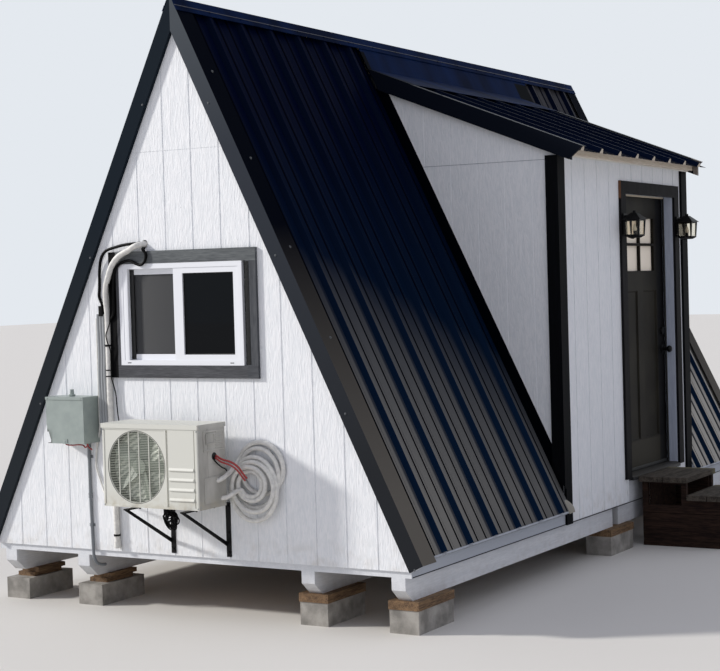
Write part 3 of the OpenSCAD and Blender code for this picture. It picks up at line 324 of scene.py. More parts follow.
def gable_nails(y, facing, window=0):
    """Nail heads on a gable over every stud, well inside the slopes and clear of the boards round a window."""
    spots = lattice(np.arange(-1625.6, 1700, groove_pitch) + 12, [y], np.arange(395, 3300, 203))
    x, z = np.abs(spots[:, 0]), spots[:, 2]
    clear = ~((x < window) & (z > 1400) & (z < 2190))
    return placed(nail, spots[(x < foot_x - 133 - (z - foot_z) / steepness) & clear], (0, facing, 0))


dormer_y = np.concatenate([np.arange(2123, 2990, groove_pitch), np.arange(4118, 4160, groove_pitch)])
siding_nails = [gable_nails(0, -1, 545), gable_nails(5450, 1),
                placed(nail, lattice([1520], dormer_y, np.arange(380, 2700, 203)), (1, 0, 0))]
piece("siding_nails", siding_nails, siding)
# The siding's sheets end 8 feet up, and a grey line of sealing compound lies over the joint on the dormer's sides.
caulk = plain_finish("grey sealing compound", "#8f949d", 0.7, 9, 0.5)
joints = [carried([(500, 2729), (1447, 2729), (1447, 2732), (500, 2732)], 1, y0, y1)
          for y0, y1 in ((1977.2, 1979), (4263, 4264.8))]
piece("sheet_joints", joints, caulk)

# Roof panels: rafters and foam between boards, lined with pale planed pine. Outdoors they are painted white under the
# dormer's eave; their end faces at the dormer's sides are coloured near black as painted shade.
lining = finish_of("planed pine lining", "#cdb894", 0.6)
height = grain(1, 9, 7.0)
pine = tones(height, "#b0966c", "#d4c09c", 0.4, 0.62)
sides = add("Math", zone((1, 1979.4, 1978.6)), zone((1, 4262.6, 4263.4)), operation="MAXIMUM")
end_face_shade = zone((1, 1900, 1901), (1, 4341, 4340), within=sides)
surface(tones(zone((0, 1519, 1520)), tones(end_face_shade, pine, "#08090c"), "#dcdcd8"), height, 0.6)
dress(lining, "roof_left", "roof_right_front", "roof_right_rear", "dormer_roof")

# Roof sheets: rolled steel with a baked blue-black coat, screwed down beside the ribs. The coat is smooth with a faint
# oil-canning. Low on the slope the flats turn grey, dust and a painted reflection of the pale ground; the ribs' steep
# sides and the clean flats carry a painted navy reflection of the sky that grows lighter downwards. A painted shaded
# strip beside each rib keeps the grey off; the grey is weaker by the dormer's front wall and on the left slope, and
# lighter at the far end.
black_steel = finish_of("baked blue-black coat on rolled steel sheet", "#03091c", 0.5, specular=0.008)
rib_pitch = 304.8
facing_y = add("SeparateXYZ", add("NewGeometry").outputs["Normal"]).outputs[1]
steep = add("Math", facing_y, operation="ABSOLUTE")
right_side = zone((0, -1, 1))
screened_by_dormer = add("Math", zone((1, 300, 1950), (1, 1979, 1978), within=right_side), -0.42, operation="MULTIPLY")
far_end_lighter = add("Math", zone((1, 4262, 4300)), 0.2, operation="MULTIPLY")
unevenness = add("Math", noise(500, (1, 1, 2), 4.0, 3.0), -0.5, operation="ADD")
unevenness = add("Math", unevenness, 0.16, operation="MULTIPLY")
fall = zone((2, 2300, 600))
for change in (far_end_lighter, screened_by_dormer, unevenness):
    fall = add("Math", fall, change, operation="ADD")
place = add("SeparateXYZ", add("TexCoord").outputs["Object"]).outputs[1]
from_gable = add("Math", place, 0.006 - datum[1], operation="ADD")
ribs_passed = add("Math", from_gable, 1000 / rib_pitch, operation="MULTIPLY")
beside = add("Math", ribs_passed, operation="FRACT")
# A strip beside each rib is kept free of grey as painted shade.
rib_shade_strip = add("MapRange", beside, 0.80, 0.85)
rib_shade_strip = add("Math", rib_shade_strip, add("MapRange", beside, 0.93, 0.92), operation="MULTIPLY")
dust_and_reflection = add("MapRange", fall, 0.05, 1.05)
for thinned in (add("MapRange", right_side, 0, 1, 0.35, 1), add("MapRange", rib_shade_strip, 0, 1, 1, 0.25)):
    dust_and_reflection = add("Math", dust_and_reflection, thinned, operation="MULTIPLY")
# The grey is dust with a painted reflection of the ground, lighter past the dormer as painted light.
dust_and_reflection_tone = tones(zone((1, 4261, 4263), within=right_side), "#817f79", "#aba89f")
flats = tones(dust_and_reflection, tones(zone((2, 3000, 1300)), "#020820", "#091a2e"), dust_and_reflection_tone)
flanks = tones(steep, "#020309", tones(zone((2, 2700, 1000)), "#060f22", "#0d2037"), 0.6, 0.7)
surface(tones(steep, flats, flanks, 0.1, 0.3), noise(420, detail=2.0), 3, 0.5)
lead(add("MapRange", fall, 0, 1, 0.46, 0.56), shader.inputs["Roughness"])
dress(black_steel, "metal_left", "metal_right", "dormer_metal")
# Folded pieces of the same sheet: the cap and the apron bulge a little, with a bluer painted sheen over the bulges;
# the side flashings are black.
folded = finish_of("baked blue-black coat on folded steel", "#0a1c40", 0.5, specular=0.01)
sidewalls = add("Math", zone((1, 1982, 1981)), zone((1, 4260, 4261)), operation="MAXIMUM")
waves = noise(230, (3, 1, 3), 3.0, 6.0)
sheen = tones(waves, "#041029", "#0a1f44", 0.35, 0.65)
surface(tones(zone((0, 20, 21), (2, 3560, 3550), within=sidewalls), sheen, "#020409"), waves, 2.5, 0.6)
dress(folded, "ridge_cap", "dormer_flashings")
slope = math.radians(63.66)
across_slope, up_slope = math.sin(slope), math.cos(slope)


def on_roof(n, s, y, side=1):
    """Points of the main roof: n out from the siding's line, s up the slope and y along the ridge.
    The left slope has side -1."""
    n, s, y = np.broadcast_arrays(n, s, y)
    x, z = foot_x + n * across_slope - s * up_slope, foot_z + n * up_slope + s * across_slope
    return np.stack([side * x, y, z], -1).astype(float).reshape(-1, 3)


# Self-drilling screws with a hexagon head over a rubber washer, one beside every main rib in each row of purlins.
screw = turned([(0, 6.4), (4.0, 6.4), (4.8, 5.6), (4.8, 2.6), (8.2, 2.2), (9.0, 1.2), (9.0, -0.4), (0, -0.4)], 6)
purlins = np.array([120, 640, 1160, 1680, 2200, 2720, 3240])
ribs = rib_pitch * np.arange(1, 18) - 6
outward = np.array([across_slope, 0, up_slope])
roof_screws = []
for side, beside_ribs in ((-1, ribs + 44), (1, ribs[:6] + 44), (1, 4368 + rib_pitch * np.arange(4))):
    spots = lattice([62], purlins, beside_ribs)
    roof_screws.append(placed(screw, on_roof(*spots.T, side), outward * (side, 1, 1)))
piece("roof_screws", roof_screws, black_steel)

# Cap screws along both legs of the ridge cap, through its hem into the ribs.
leg, apex = 62, 12
peak_z = foot_z + (foot_x + 98 / across_slope) * math.tan(slope)
cap_spots = lattice([apex + leg * up_slope], ribs, [peak_z - apex * math.tan(slope) - leg * across_slope])
piece("cap_screws", [placed(screw, cap_spots * (side, 1, 1), outward * (side, 1, 1)) for side in (-1, 1)],
      black_steel)

# The cap's folded hem stands out as a thin bead, coloured light grey as a painted highlight along the fold.
hem_highlight = plain_finish("painted highlight on the cap's hem", "#43434c", 0.4, 60, 0.4, detail=3.0, specular=0.3)
hem_s, hem_n, shoulder_z = 57, 3.4, 3654.98
hem = np.array([apex + hem_s * up_slope + hem_n * across_slope,
                shoulder_z - hem_s * across_slope + hem_n * up_slope])
angle = np.arange(12) * np.pi / 6
bead = 2.6 * np.stack([np.cos(angle), np.sin(angle)], -1)
piece("cap_hems", [carried(bead + hem * (side, 1), 1, -26, 5476) for side in (-1, 1)], hem_highlight)

# Rake trims: folded channels of charcoal steel over the sheets' ends, screwed through the face and the flange. The
# coat is matt; its face carries a painted reflection, bluish and darker at the top on the left, paler towards the top
# on the right, and the flange beside the sheets is black above and grey below, dust with a painted reflection as on the
# roof.
charcoal = finish_of("baked charcoal coat on folded steel", "#2c2e31", 0.5, specular=0.006)
facing_z = add("SeparateXYZ", add("NewGeometry").outputs["Normal"]).outputs[2]
left_face = tones(zone((2, 2400, 1500)), "#1d242b", "#292d31")
right_face = tones(zone((2, 2700, 900)), tones(zone((2, 3500, 2750)), "#4c5156", "#363a41"), "#282a2d")
flange = tones(zone((2, 2300, 700)), "#01040f", "#66625b")
is_face = add("Math", facing_z, 0.2, operation="LESS_THAN")
surface(tones(is_face, flange, tones(zone((0, -1, 1)), left_face, right_face)), noise(300, detail=2.0), 4, 0.6)
dress(charcoal, "rake_trims")
face_s = np.array([40, 987, 1984, 2981])
flange_s = np.array([1390, 1970, 2550, 3130])
rake_screws = []
for side in (-1, 1):
    rake_screws += [
        placed(screw * 0.8, on_roof(27 + 11 * side, face_s - 19 - 19 * side, -25, side), (0, -1, 0)),
        placed(screw * 0.8, on_roof(27, face_s, 5471.6, side), (0, 1, 0))]
    rake_screws += [placed(screw, on_roof(96, flange_s, y, side), outward * (side, 1, 1)) for y in (62, 5388)]
# The heads have weathered to a dull grey that stands out from the dark trim.
worn_zinc = plain_finish("dulled zinc on screw heads", "#5d6062", 0.5, 2, 0.1, specular=0.3)
piece("rake_screws", rake_screws, worn_zinc)


# Dormer: black painted corner boards, a cream fascia under the sheets and pressed steel over the sloping edges. The
# black is dead matt and shows little grain; the near trim's back edge was left bare and shows raw wood.
def board(low, high, axis, soft=1.5):
    """A stick with its long edges rounded by `soft`: a rectangle with quarter circles at its corners, carried along."""
    u, v = [k for k in range(3) if k != axis]
    quarter = np.repeat(np.arange(4) * np.pi / 2, 4)
    angle = quarter + np.tile(np.linspace(0, np.pi / 2, 4), 4)
    side_u, side_v = np.sign(np.cos(quarter + np.pi / 4)), np.sign(np.sin(quarter + np.pi / 4))
    middle, half = np.add(low, high) / 2, np.abs(np.subtract(high, low)) / 2
    outline = np.stack([middle[u] + side_u * (half[u] - soft) + soft * np.cos(angle),
                        middle[v] + side_v * (half[v] - soft) + soft * np.sin(angle)], -1)
    return carried(outline, axis, low[axis], high[axis])


black_board = finish_of("black paint on sawn board", "#060709", 0.6, specular=0.06)
height = grain(2, 5, 9.0)
surface(tones(height, "#020305", "#08090e", 0.4, 0.65), height, 1.0)
dress(black_board, "corner_boards")
cream_board = finish_of("cream paint on planed board", "#d8cfc0", 0.6)
height = grain(1, 6, 11.0)
surface(tones(height, "#e0d0ba", "#f4e8d7", 0.4, 0.62), height, 0.8)
dress(cream_board, "dormer_fascia")
navy_steel = finish_of("baked slate-blue coat on pressed steel", "#0e131d", 0.4, specular=0.04)
raw_edge = tones(grain(0, 5, 12.0), "#80776f", "#a8a099", 0.4, 0.62)
inner = zone((0, 1604, 1605), (1, 4303, 4302), (1, 4190, 4200))
surface(tones(inner, "#0c111b", raw_edge), noise(260, detail=3.0, seed=1.0), 3, 0.5)
dress(navy_steel, "dormer_rake_trims")
dormer_angle = math.radians(21.2)
down = np.array([math.cos(dormer_angle), 0, -math.sin(dormer_angle)])
off = np.array([math.sin(dormer_angle), 0, math.cos(dormer_angle)])
eave = np.array([1700, 0, 2762 - 180 * math.tan(dormer_angle) + 75 / math.cos(dormer_angle)])


def on_dormer(n, back, y):
    """Points of the dormer's roof: n out from its panels, back from the sheets' lower edge up the slope."""
    n, back, y = [np.ravel(w)[:, None] for w in np.broadcast_arrays(n, back, y)]
    return eave + n * off - back * down + y * np.array([0, 1, 0])


# Cream foam closes the ribs' open ends at the eave; black boards close the apron's ends and the walls' feet.
dormer_ribs = 2002 + rib_pitch * np.arange(8)
closing = np.array([[-29, 0.4], [-12.4, 31], [12.4, 31], [29, 0.4], [29, 0], [-29, 0]])
plugs = [carried(closing, 2, -24, -1.5) @ np.stack([np.array([0, 1.0, 0]), off, down]) + eave + (0, y, 0)
         for y in dormer_ribs]
closure = plain_finish("cream closed-cell foam", "#c9bfae", 0.85, 5, 1)
piece("rib_closures", plugs, closure)
under_apron = on_roof(np.array([62.4, 93.8, 93.8, 62.4]), np.array([3240, 3240, 3540, 3540]), 0.0)[:, [0, 2]]
wall_foot = [(1438, 696), (1519, 532), (1519, 604), (1438, 767)]
closures = [carried(under_apron, 1, 1979, 1992), carried(under_apron, 1, 4250, 4263),
            carried(wall_foot, 1, 1974, 1977.7)]
piece("apron_closures", closures, black_board)
# The side flashing's lower end is bent up into a lip that shows its bare edge: a quarter of a sine across, fading
# down the slope. Two such skins 1.2 mm apart are joined round the rim.
across, down_lip = np.meshgrid(np.linspace(0, 1, 9), np.linspace(0, 1, 9))
lip_n = 63 + 26 * np.sin(across * np.pi / 2) * np.sin(down_lip * np.pi * 0.75)
near, away = [on_roof(lip_n + d, 20 + 95 * (1 - down_lip), 1928 + 46 * across).reshape(9, 9, 3) for d in (0, 1.2)]
rim = [np.stack([near[k], away[k]]) for k in (0, -1)] + [np.stack([near[:, k], away[:, k]]) for k in (0, -1)]
bent = plain_finish("bare galvanised edge of bent flashing", "#8b867c", 0.5, 30, 0.4, Metallic=0.2)
piece("flashing_lip", [near, away] + rim, bent)
spots = lattice([2], [70, 620, 1120], dormer_ribs[:-1] + 44)
piece("dormer_screws", [placed(screw, on_dormer(*spots.T), off)], black_steel)
piece("apron_screws", [placed(screw, on_dormer(36.6, 1130, dormer_ribs), off)], black_steel)
# Finishing brads, 6 mm across, in two rows down each corner board, and painted over.
brad = turned([(0, 0.5), (2.6, 0.4), (3.2, -0.4), (0, -0.4)], 8)
board_x = 1539
brads = [placed(brad, lattice([board_x], pair, np.arange(460, 2700, 300)), (1, 0, 0))
         for pair in ([1990, 2054], [4252, 4188])]
brads.append(placed(brad, lattice([1470, 1525], [1959], np.arange(720, 2700, 300)), (0, -1, 0)))
piece("corner_brads", brads, black_board)

# Door: a pressed steel leaf in satin charcoal with two tall sunk panels under four lights. The sunk panels have
# stepped mouldings, the lights have raised lips, and the panes are sandblasted. The panes are drawn opaque and pale
# cream as painted light, for the daylight that shows through them.
door_enamel = finish_of("satin charcoal enamel on pressed steel", "#111110", 0.45, specular=0.06)
satin = tones(noise(240, seed=3.0), "#1a1712", "#25221b", 0.4, 0.65)
scuffed = tones(zone((2, 735, 720)), satin, "#302d25")
# The lock stile next to the jamb turns near black as painted shade.
lock_stile_shade = add("Math", zone((1, 3862, 3885)), 0.8, operation="MULTIPLY")
surface(tones(lock_stile_shade, scuffed, "#04050a"), noise(3, (1, 1, 14), 3.0, 13.0), 0.25)
dress(door_enamel, "door_leaf")


def framed(low, high, profile, axis, face):
    """A moulding round an opening: each (inset, proud) of its profile runs round the rectangle from low to high."""
    profile = np.asarray(profile, float)
    profile = np.concatenate([profile, profile[:1]])
    u, v = [k for k in range(3) if k != axis]
    corner = np.array([[0, 0], [1, 0], [1, 1], [0, 1], [0, 0]])
    rings = np.zeros((len(profile), 5, 3))
    for index, which in ((u, 0), (v, 1)):
        span = np.array([low[which], high[which]])[corner[:, which]]
        rings[:, :, index] = span + profile[:, :1] * (1 - 2 * corner[:, which])
    rings[:, :, axis] = face + profile[:, 1:]
    return rings


stepped = np.array([(0.2, -8.8), (0.2, -0.7), (2, -0.7), (3.5, -3.2), (6.5, -4.2), (9, -4.6), (11.5, -6.4),
                    (13, -8.8)])
lip = np.array([(-7, -0.2), (-7, 2.2), (-5, 4), (-1, 4.4), (1.8, 3), (2.4, -12), (0.2, -12), (0.2, -0.2)])
leaf_x = 1437
mouldings = []
for facing, face in ((1, leaf_x), (-1, leaf_x - 44)):
    mouldings += [framed((y, 734), (y + 254, 1840), stepped * (1, facing), 0, face) for y in (3241, 3605)]
    mouldings += [framed((y, z), (y + 261, z + 190), lip * (1, facing), 0, face)
                  for y in (3281, 3558) for z in (1984, 2190)]
piece("door_mouldings", mouldings, door_enamel, "door")
frosted_glass_lit = plain_finish("sandblasted float glass", "#fff3df", 0.55, 6, 0.6, detail=3.0, specular=0.4)
dress(frosted_glass_lit, "door_glass")
# A black rubber sweep with soft fins closes the gap over the threshold and swings with the leaf.
sweep_rubber = plain_finish("extruded black rubber", "#0b0b0c", 0.6, 3, 0.15)
fins = [(1437.2, 515), (1437.2, 540), (1441.5, 540), (1443, 534), (1441.8, 528), (1443, 522), (1441, 515)]
piece("door_sweep", [carried(fins, 1, 3096, 4004)], sweep_rubber, "door")

# Door frame: jambs in pale blue-grey paint. The sill below them is dark, with a bronze-anodised
# threshold that is ridged along its length; black rubber seals lie over the stops.
jamb_paint = finish_of("blue-grey satin paint on planed pine", "#b9c0ce", 0.5)
height = grain(2, 8, 15.0)
jamb = tones(height, "#b0b8c8", "#c2c9d6", 0.4, 0.62)
surface(tones(zone((2, 512, 510)), jamb, "#15161a"), height, 0.4)
dress(jamb_paint, "door_frame")
bronze = finish_of("bronze-anodised extruded aluminium", "#35322f", 0.5, Metallic=0.5)
surface(None, noise(2.5, (1, 60, 1), 2.0), 0.12)
ridge = ((0, 512.4), (2, 513.6), (4, 513.6))
ridged = [(1443, 509.2), (1443, 512), *((1446 + 6 * k + x, h) for k in range(12) for x, h in ridge),
          (1521, 512.2), (1543.4, 502.5), (1543.4, 499.8), (1520.5, 509.2)]
piece("threshold", [carried(ridged, 1, 3089, 4011)], bronze)
seals = [board((1441.7, y0, 513), (1456, y1, 2545), 2, 3) for y0, y1 in ((3997.8, 4011.8), (3088.2, 3102))]
piece("door_seals", seals, sweep_rubber)
# Cream vinyl foam lies over the head's stop and catches the light.
head_seal = plain_finish("extruded cream vinyl foam", "#c5b9a3", 0.7, 4, 0.2)
piece("head_seal", [board((1441.7, 3102.4, 2532.5), (1456, 3997.4, 2546.6), 1, 3)], head_seal)

# Boards round the door: rough pine nailed up under thin black stain, dull and hardly grained. The stain is worn
# off the upper left mitre, where raw, brown end grain shows.
dark_stain = finish_of("black stain on rough pine", "#151416", 0.6, specular=0.06)
height = grain(2, 5, 17.0)
stain = tones(height, "#0f0e10", "#1f1e20", 0.4, 0.62)
surface(tones(zone((1, 2993, 2992), (2, 2500, 2512)), stain, "#6f4f3c"), height, 1.2)
dress(dark_stain, "door_trim")
trim_brads = [placed(brad, lattice([board_x], [3009, 3061, 4039, 4091], np.arange(560, 2500, 380)), (1, 0, 0)),
              placed(brad, lattice([board_x], np.arange(3020, 4100, 260), [2566, 2610]), (1, 0, 0))]
piece("door_trim_brads", trim_brads, dark_stain)

# Lock: a rose, neck and knob, and a deadbolt above, cast and powder-coated black. The coat is fine-grained and
# softens the edges; hinges, lanterns and the unit's brackets have the same.
black_iron = plain_finish("black powder coat on cast metal", "#08080a", 0.45, 2.5, 0.12, specular=0.15)
dress(black_iron, "door_lock", "door_hinges", "frame_hinges", "lanterns", "unit_brackets")
rose = turned([(0, 9.5), (13, 9.5), (20, 8.6), (29, 7.2), (33.6, 4.5), (33.8, 0.4), (0, 0.4)], 36)
bolt_face = turned([(0, 16.8), (15, 16.8), (17, 15), (18, 14.4), (27, 14.4), (29.6, 12), (29.8, 0.4), (0, 0.4)], 36)
slot_cover = turned([(0, 18.6), (3, 18.6), (4, 17.6), (4, 16), (0, 16)], 20) * (1, 2.2, 1)
lock_bits = [placed(shape, [[leaf_x, 3954, z]], (1, 0, 0))
             for shape, z in ((rose, 1384), (bolt_face, 1524), (slot_cover, 1524))]
piece("lock_faces", lock_bits, black_iron, "door")


# Lanterns: cast cages, one on each side of the door. Each has four panes of clear, slightly wavy seeded glass, a
# frosted candle bulb in its socket, a finial, and a scrolled arm under it.
def pipe(path, radius, sides=14, ref=(0.1, 1, 0.2)):
    """A round pipe: circles of a radius (one, or one for each point) set square to the path, closed at the ends."""
    path = np.asarray(path, float)
    radius = np.broadcast_to(radius, len(path))[:, None, None]
    way = np.gradient(path, axis=0)
    way /= np.linalg.norm(way, axis=1, keepdims=True)
    side = np.cross(way, ref)
    side /= np.linalg.norm(side, axis=1, keepdims=True)
    rise = np.cross(side, way)
    angle = np.linspace(0, 2 * np.pi, sides + 1)[None, :, None]
    rings = path[:, None] + radius * (side[:, None] * np.cos(angle) + rise[:, None] * np.sin(angle))
    ends = [np.repeat(path[k][None, None], sides + 1, 1) for k in (0, -1)]
    return np.concatenate([ends[0], rings, ends[1]])


def smooth(points, steps=8):
    """A Catmull-Rom curve through the points; the first and the last only steer it."""
    p = np.asarray(points, float)
    a, b, c, d = (p[k:len(p) - 3 + k, None] for k in range(4))
    t = (np.arange(steps) / steps)[None, :, None]
    way = 0.5 * (2 * b + (c - a) * t + (2 * a - 5 * b + 4 * c - d) * t ** 2 + (3 * b - a - 3 * c + d) * t ** 3)
    return np.concatenate([way.reshape(-1, 3), p[-2:-1]])


seeded = plain_finish("seeded blown glass", "#f6f1e6", 0.02, 14, 0.15, **{"Transmission Weight": 1.0, "IOR": 1.3})
bulb_glass = plain_finish("frosted lamp glass", "#efe9dc", 0.3, 8, 0.05)
square = turned([(67.4, -75), (77.8, 29), (76.2, 29), (65.8, -75), (67.4, -75)], 4)
eighth = math.sqrt(0.5)
square = square @ np.array([[eighth, eighth, 0], [-eighth, eighth, 0], [0, 0, 1]])
bulb = turned([(0, 6), (4, 2), (9, -10), (14, -26), (15, -34), (12, -44), (9, -48), (0, -48)], 20)
socket_cup = turned([(0, -46), (11, -46), (11, -76), (13, -81), (0, -81)], 16)
finial = turned([(0, 54), (5, 53), (8, 48), (5, 43), (9, 38), (12, 33), (0, 33)], 16)
arm = pipe(smooth([(10, 0, -30), (11, 0, -40), (22, 0, -66), (44, 0, -92), (66, 0, -98), (80, 0, -93),
                   (90, 0, -90)]), 4, 10) - (81.7, 0, 0)
middles = [np.array([board_x + 81.7, y, 2316]) for y in (3035.5, 4064.5)]
piece("lantern_panes", [square + middle for middle in middles], seeded)
piece("lantern_bulbs", [bulb + middle for middle in middles], bulb_glass)
piece("lantern_irons", [iron + middle for middle in middles for iron in (socket_cup, finial, arm)],
      black_iron)

# Window: a white extruded vinyl slider, smooth and slightly glossy. Black rubber holds the panes and weep slots drain
# the frame. Black strips in the gap at its right side, on the right board beside it and over the sash's left stile are
# painted shade. The boards round it are brushed with thin dark grey paint that lets the grain show; the top board is
# lighter as painted light, the right one a touch darker and the left one near black as painted shade.
grey_board = finish_of("thin grey paint on rough pine", "#4b4c4f", 0.62, specular=0.06)
level_boards = add("Math", zone((2, 2100, 2101)), zone((2, 1495, 1494)), operation="MAXIMUM")
height = add("Mix", level_boards, grain(2, 6, 16.0), grain(0, 6, 15.0))
coats = []
for low_board, shaded_right_board, lit_top_board, shadowed_left_board in (("#46474a", "#44464a", "#56595b", "#030304"),
                                                      ("#5b5c5f", "#585a5d", "#6d7172", "#0a0a0c")):
    coat = tones(zone((0, 480, 481)), low_board, shaded_right_board)
    coat = tones(zone((2, 2100, 2101), (0, -478, -477)), coat, lit_top_board)
    coats.append(tones(zone((0, -477, -478)), coat, shadowed_left_board))
surface(tones(height, *coats, 0.4, 0.62), height, 1.2)
dress(grey_board, "window_trim")
vinyl = plain_finish("white extruded vinyl", "#e8eaee", 0.32, 40, 0.1)
dress(vinyl, "window_frame")
# Clear glass before a dark room looks nearly black, with a broad faint waviness.
dark_glass = finish_of("clear float glass before a dark room", "#05080c", 0.03, specular=0.12)
surface(None, noise(500, detail=1.0), 0.8, 0.3)
dress(dark_glass, "window_glass")
gasket = [(-0.5, 3), (-0.5, -0.6), (1.5, -1.4), (4, -0.4), (4, 3)]
gaskets = [framed((21.3, 1559), (389, 2037), gasket, 1, -2.6), framed((-382, 1561), (-46.7, 2035), gasket, 1, 25.4)]
piece("pane_gaskets", gaskets, sweep_rubber)
weeps = [board((x - 13, -18.2, 1507), (x + 13, -16, 1512), 0, 0.9) for x in (-392, 372)]
piece("weep_slots", weeps, sweep_rubber)
catch = [board((-52, 12, 1770), (-36, 17, 1830), 2, 2.4), board((-58, 8, 1792), (-40, 12.4, 1808), 0, 2)]
piece("window_lock", catch, vinyl)
# Two black strips, in the gap and along the right board's edge, stand in for the shade there.
shade_strips = plain_finish("black strips as painted shade", "#08090b", 0.9, 12, 4, detail=4.0)
shade_strip_boards = [board((457.5, 4, 1496), (480.5, 60, 2100), 2, 3), board((482, -20.4, 1500), (508, -19, 2096), 2, 0.5)]
piece("shade_strips", shade_strip_boards, shade_strips)
# A black strip over the sash's left stile stands in for the shade there.
piece("sash_stile_shade", [board((-411, 10, 1530), (-366, 20.6, 2066), 2, 2)], sweep_rubber)
piece("sash_stop", [board((-427, -15.4, 1524), (-392, 8, 2074), 2, 1.5)], vinyl)
# The insect mesh's wires are too fine to show: it is drawn as one thin dark sheet that lets a little through.
mesh_cloth = plain_finish("charcoal aluminium insect mesh", "#3b3c3e", 0.7, 3, 0.3, detail=1.0, Alpha=0.82)
piece("insect_mesh", [board((-380, 21.4, 1563), (-48.5, 22.4, 2033), 2, 0.3)], mesh_cloth)
window_brads = [placed(brad, lattice(np.arange(-500, 520, 250), [-19], [1443, 2140]), (0, -1, 0)),
                placed(brad, lattice([-514, -478, 505, 540], [-19], np.arange(1540, 2100, 260)), (0, -1, 0))]
piece("window_brads", window_brads, grey_board)

# Outdoor unit: an ivory powder-coated steel case. Behind the guard lie a dark shroud, the fan and a coil of
# aluminium fins; fine steel wires cross the guard. Its lid, panels and brackets are screwed on. The coat is finely
# speckled and soiled at the foot; its right side is coloured darker and patchy as painted shade.
ivory = finish_of("ivory powder coat on steel sheet", "#d0d0c7", 0.5)
soil = zone((2, 790, 690), within=add("MapRange", noise(60, seed=2.0), 0.4, 0.7))
side_shade_patches = tones(noise(130, (1, 1, 2), 3.0, 9.0), "#a09e97", "#b9b7b0", 0.4, 0.62)
case_coat = tones(zone((0, 361.4, 361.9)), "#d0d0c7", side_shade_patches)
surface(tones(soil, case_coat, "#b5ae9c"), noise(2.5, detail=2.0), 0.15)
dress(ivory, "unit_casing")
guard = finish_of("moulded ivory ABS over a grey-green fan", "#cfccc0", 0.5)
surface(tones(zone((1, -330, -326)), "#cdcdc3", "#828a7f"), noise(3, detail=2.0), 0.1)
dress(guard, "unit_grille")
fan_x, fan_z, fan_r = -86, 929, 211
rise = np.arange(-200, 201, 9.6)
half = np.sqrt((fan_r - 7) ** 2 - rise ** 2)
wires = [pipe([(fan_x + x, -338.2, fan_z + h) for x in (-w, 0, w)], 1.0, 6) for w, h in zip(half, rise)]
wire_coat = plain_finish("ivory dip coat on steel wire", "#c2c6b8", 0.5, 3, 0.1, detail=1.0)
piece("guard_wires", wires, wire_coat)
shroud = plain_finish("moulded dark grey-green plastic", "#3c403b", 0.6, 4, 0.2)
bowl = turned([(fan_r - 0.5, 0), (fan_r - 0.5, 56), (fan_r - 3, 56), (fan_r - 3, 0), (fan_r - 0.5, 0)], 64)
piece("fan_shroud", [placed(bowl, [[fan_x, -342.5, fan_z]], (0, 1, 0))], shroud)
# The fins stand 2 mm apart, too fine to show, and are drawn as slanting ripples 16 mm apart.
finned = finish_of("louvred aluminium fins", "#8b9384", 0.5, Metallic=0.15)
tilt = add("Mapping", add("TexCoord").outputs["Object"], Rotation=(0, 0.5, 0))
ripple = add("TexWave", tilt, 10.0, 2.2, 1.0, 4.0, wave_type="BANDS", bands_direction="Z", wave_profile="SIN")
surface(tones(ripple.outputs["Fac"], "#939b8f", "#d2d6c8"), ripple.outputs["Fac"], 3)
disc = turned([(0, 1.5), (120, 1.2), (fan_r - 4, 0.8), (fan_r - 4, 0.2), (0, 0.2)], 64)
piece("coil_fins", [placed(disc, [[fan_x, -285.2, fan_z]], (0, -1, 0))], finned)
# Pan-head screws hold the case and its lid: bright zinc, so each one glints.
pan_screw = turned([(0, 1.6), (1.2, 1.6), (1.3, 2.6), (3.4, 2.2), (4.8, 0.8), (5, -0.4), (0, -0.4)], 12)
case_screws = [placed(pan_screw, lattice([-326, 354], [-345], [706, 1142]), (0, -1, 0))]
case_screws += [placed(pan_screw, lattice([x], [-330, -110], heights), (side, 0, 0)) for x, side, heights in (
    (364, 1, [712, 1136]), (-336, -1, [712, 1136]), (367, 1, [1162]), (-339, -1, [1162]))]
bright_zinc = plain_finish("bright zinc plate on steel", "#a7a9a8", 0.35, 2, 0.08, detail=1.0, Metallic=1.0)
piece("case_screws", case_screws, bright_zinc)
# The right side carries a valve cover and a raised wiring cover with a smaller frame and seven ribs on it.
outer_lip = [(0, -0.3), (0, 4.2), (3, 5.4), (9, 4.6), (12, -0.3)]
inner_lip = [(0, -0.3), (0, 6.8), (2, 7.4), (6, 6.4), (8, -0.3)]
covers = [board((362, -300, 727), (370.5, -106, 874), 2, 3), framed((-298, 1022), (-106, 1140), outer_lip, 0, 364),
          framed((-276, 1062), (-196, 1122), inner_lip, 0, 364)]
covers += [board((363.6, -186, h), (367.4, -120, h + 7), 1, 1.6) for h in range(1034, 1139, 15)]
piece("valve_cover", covers, ivory)
grommet = turned([(0, 1.2), (13, 1.2), (15, 3.6), (20, 3.6), (22, 0.3), (0, 0.3)], 24)
grommets = [placed(grommet, [[364, -202, 990]], (1, 0, 0)), placed(grommet, [[0, -150, 696]], (0, 0, -1))]
piece("wire_grommets", grommets, sweep_rubber)
lag = turned([(0, 6), (5.6, 6), (6.6, 5), (6.6, 0.8), (10.5, 0.8), (10.5, -0.4), (0, -0.4)], 6)
bolts = [placed(lag, lattice([-112, 297], [-4], [404, 520, 676]), (0, -1, 0)),
         placed(lag, lattice([-104, 305], [-300, -140], [688]), (0, 0, -1))]
piece("bracket_bolts", bolts, black_iron)

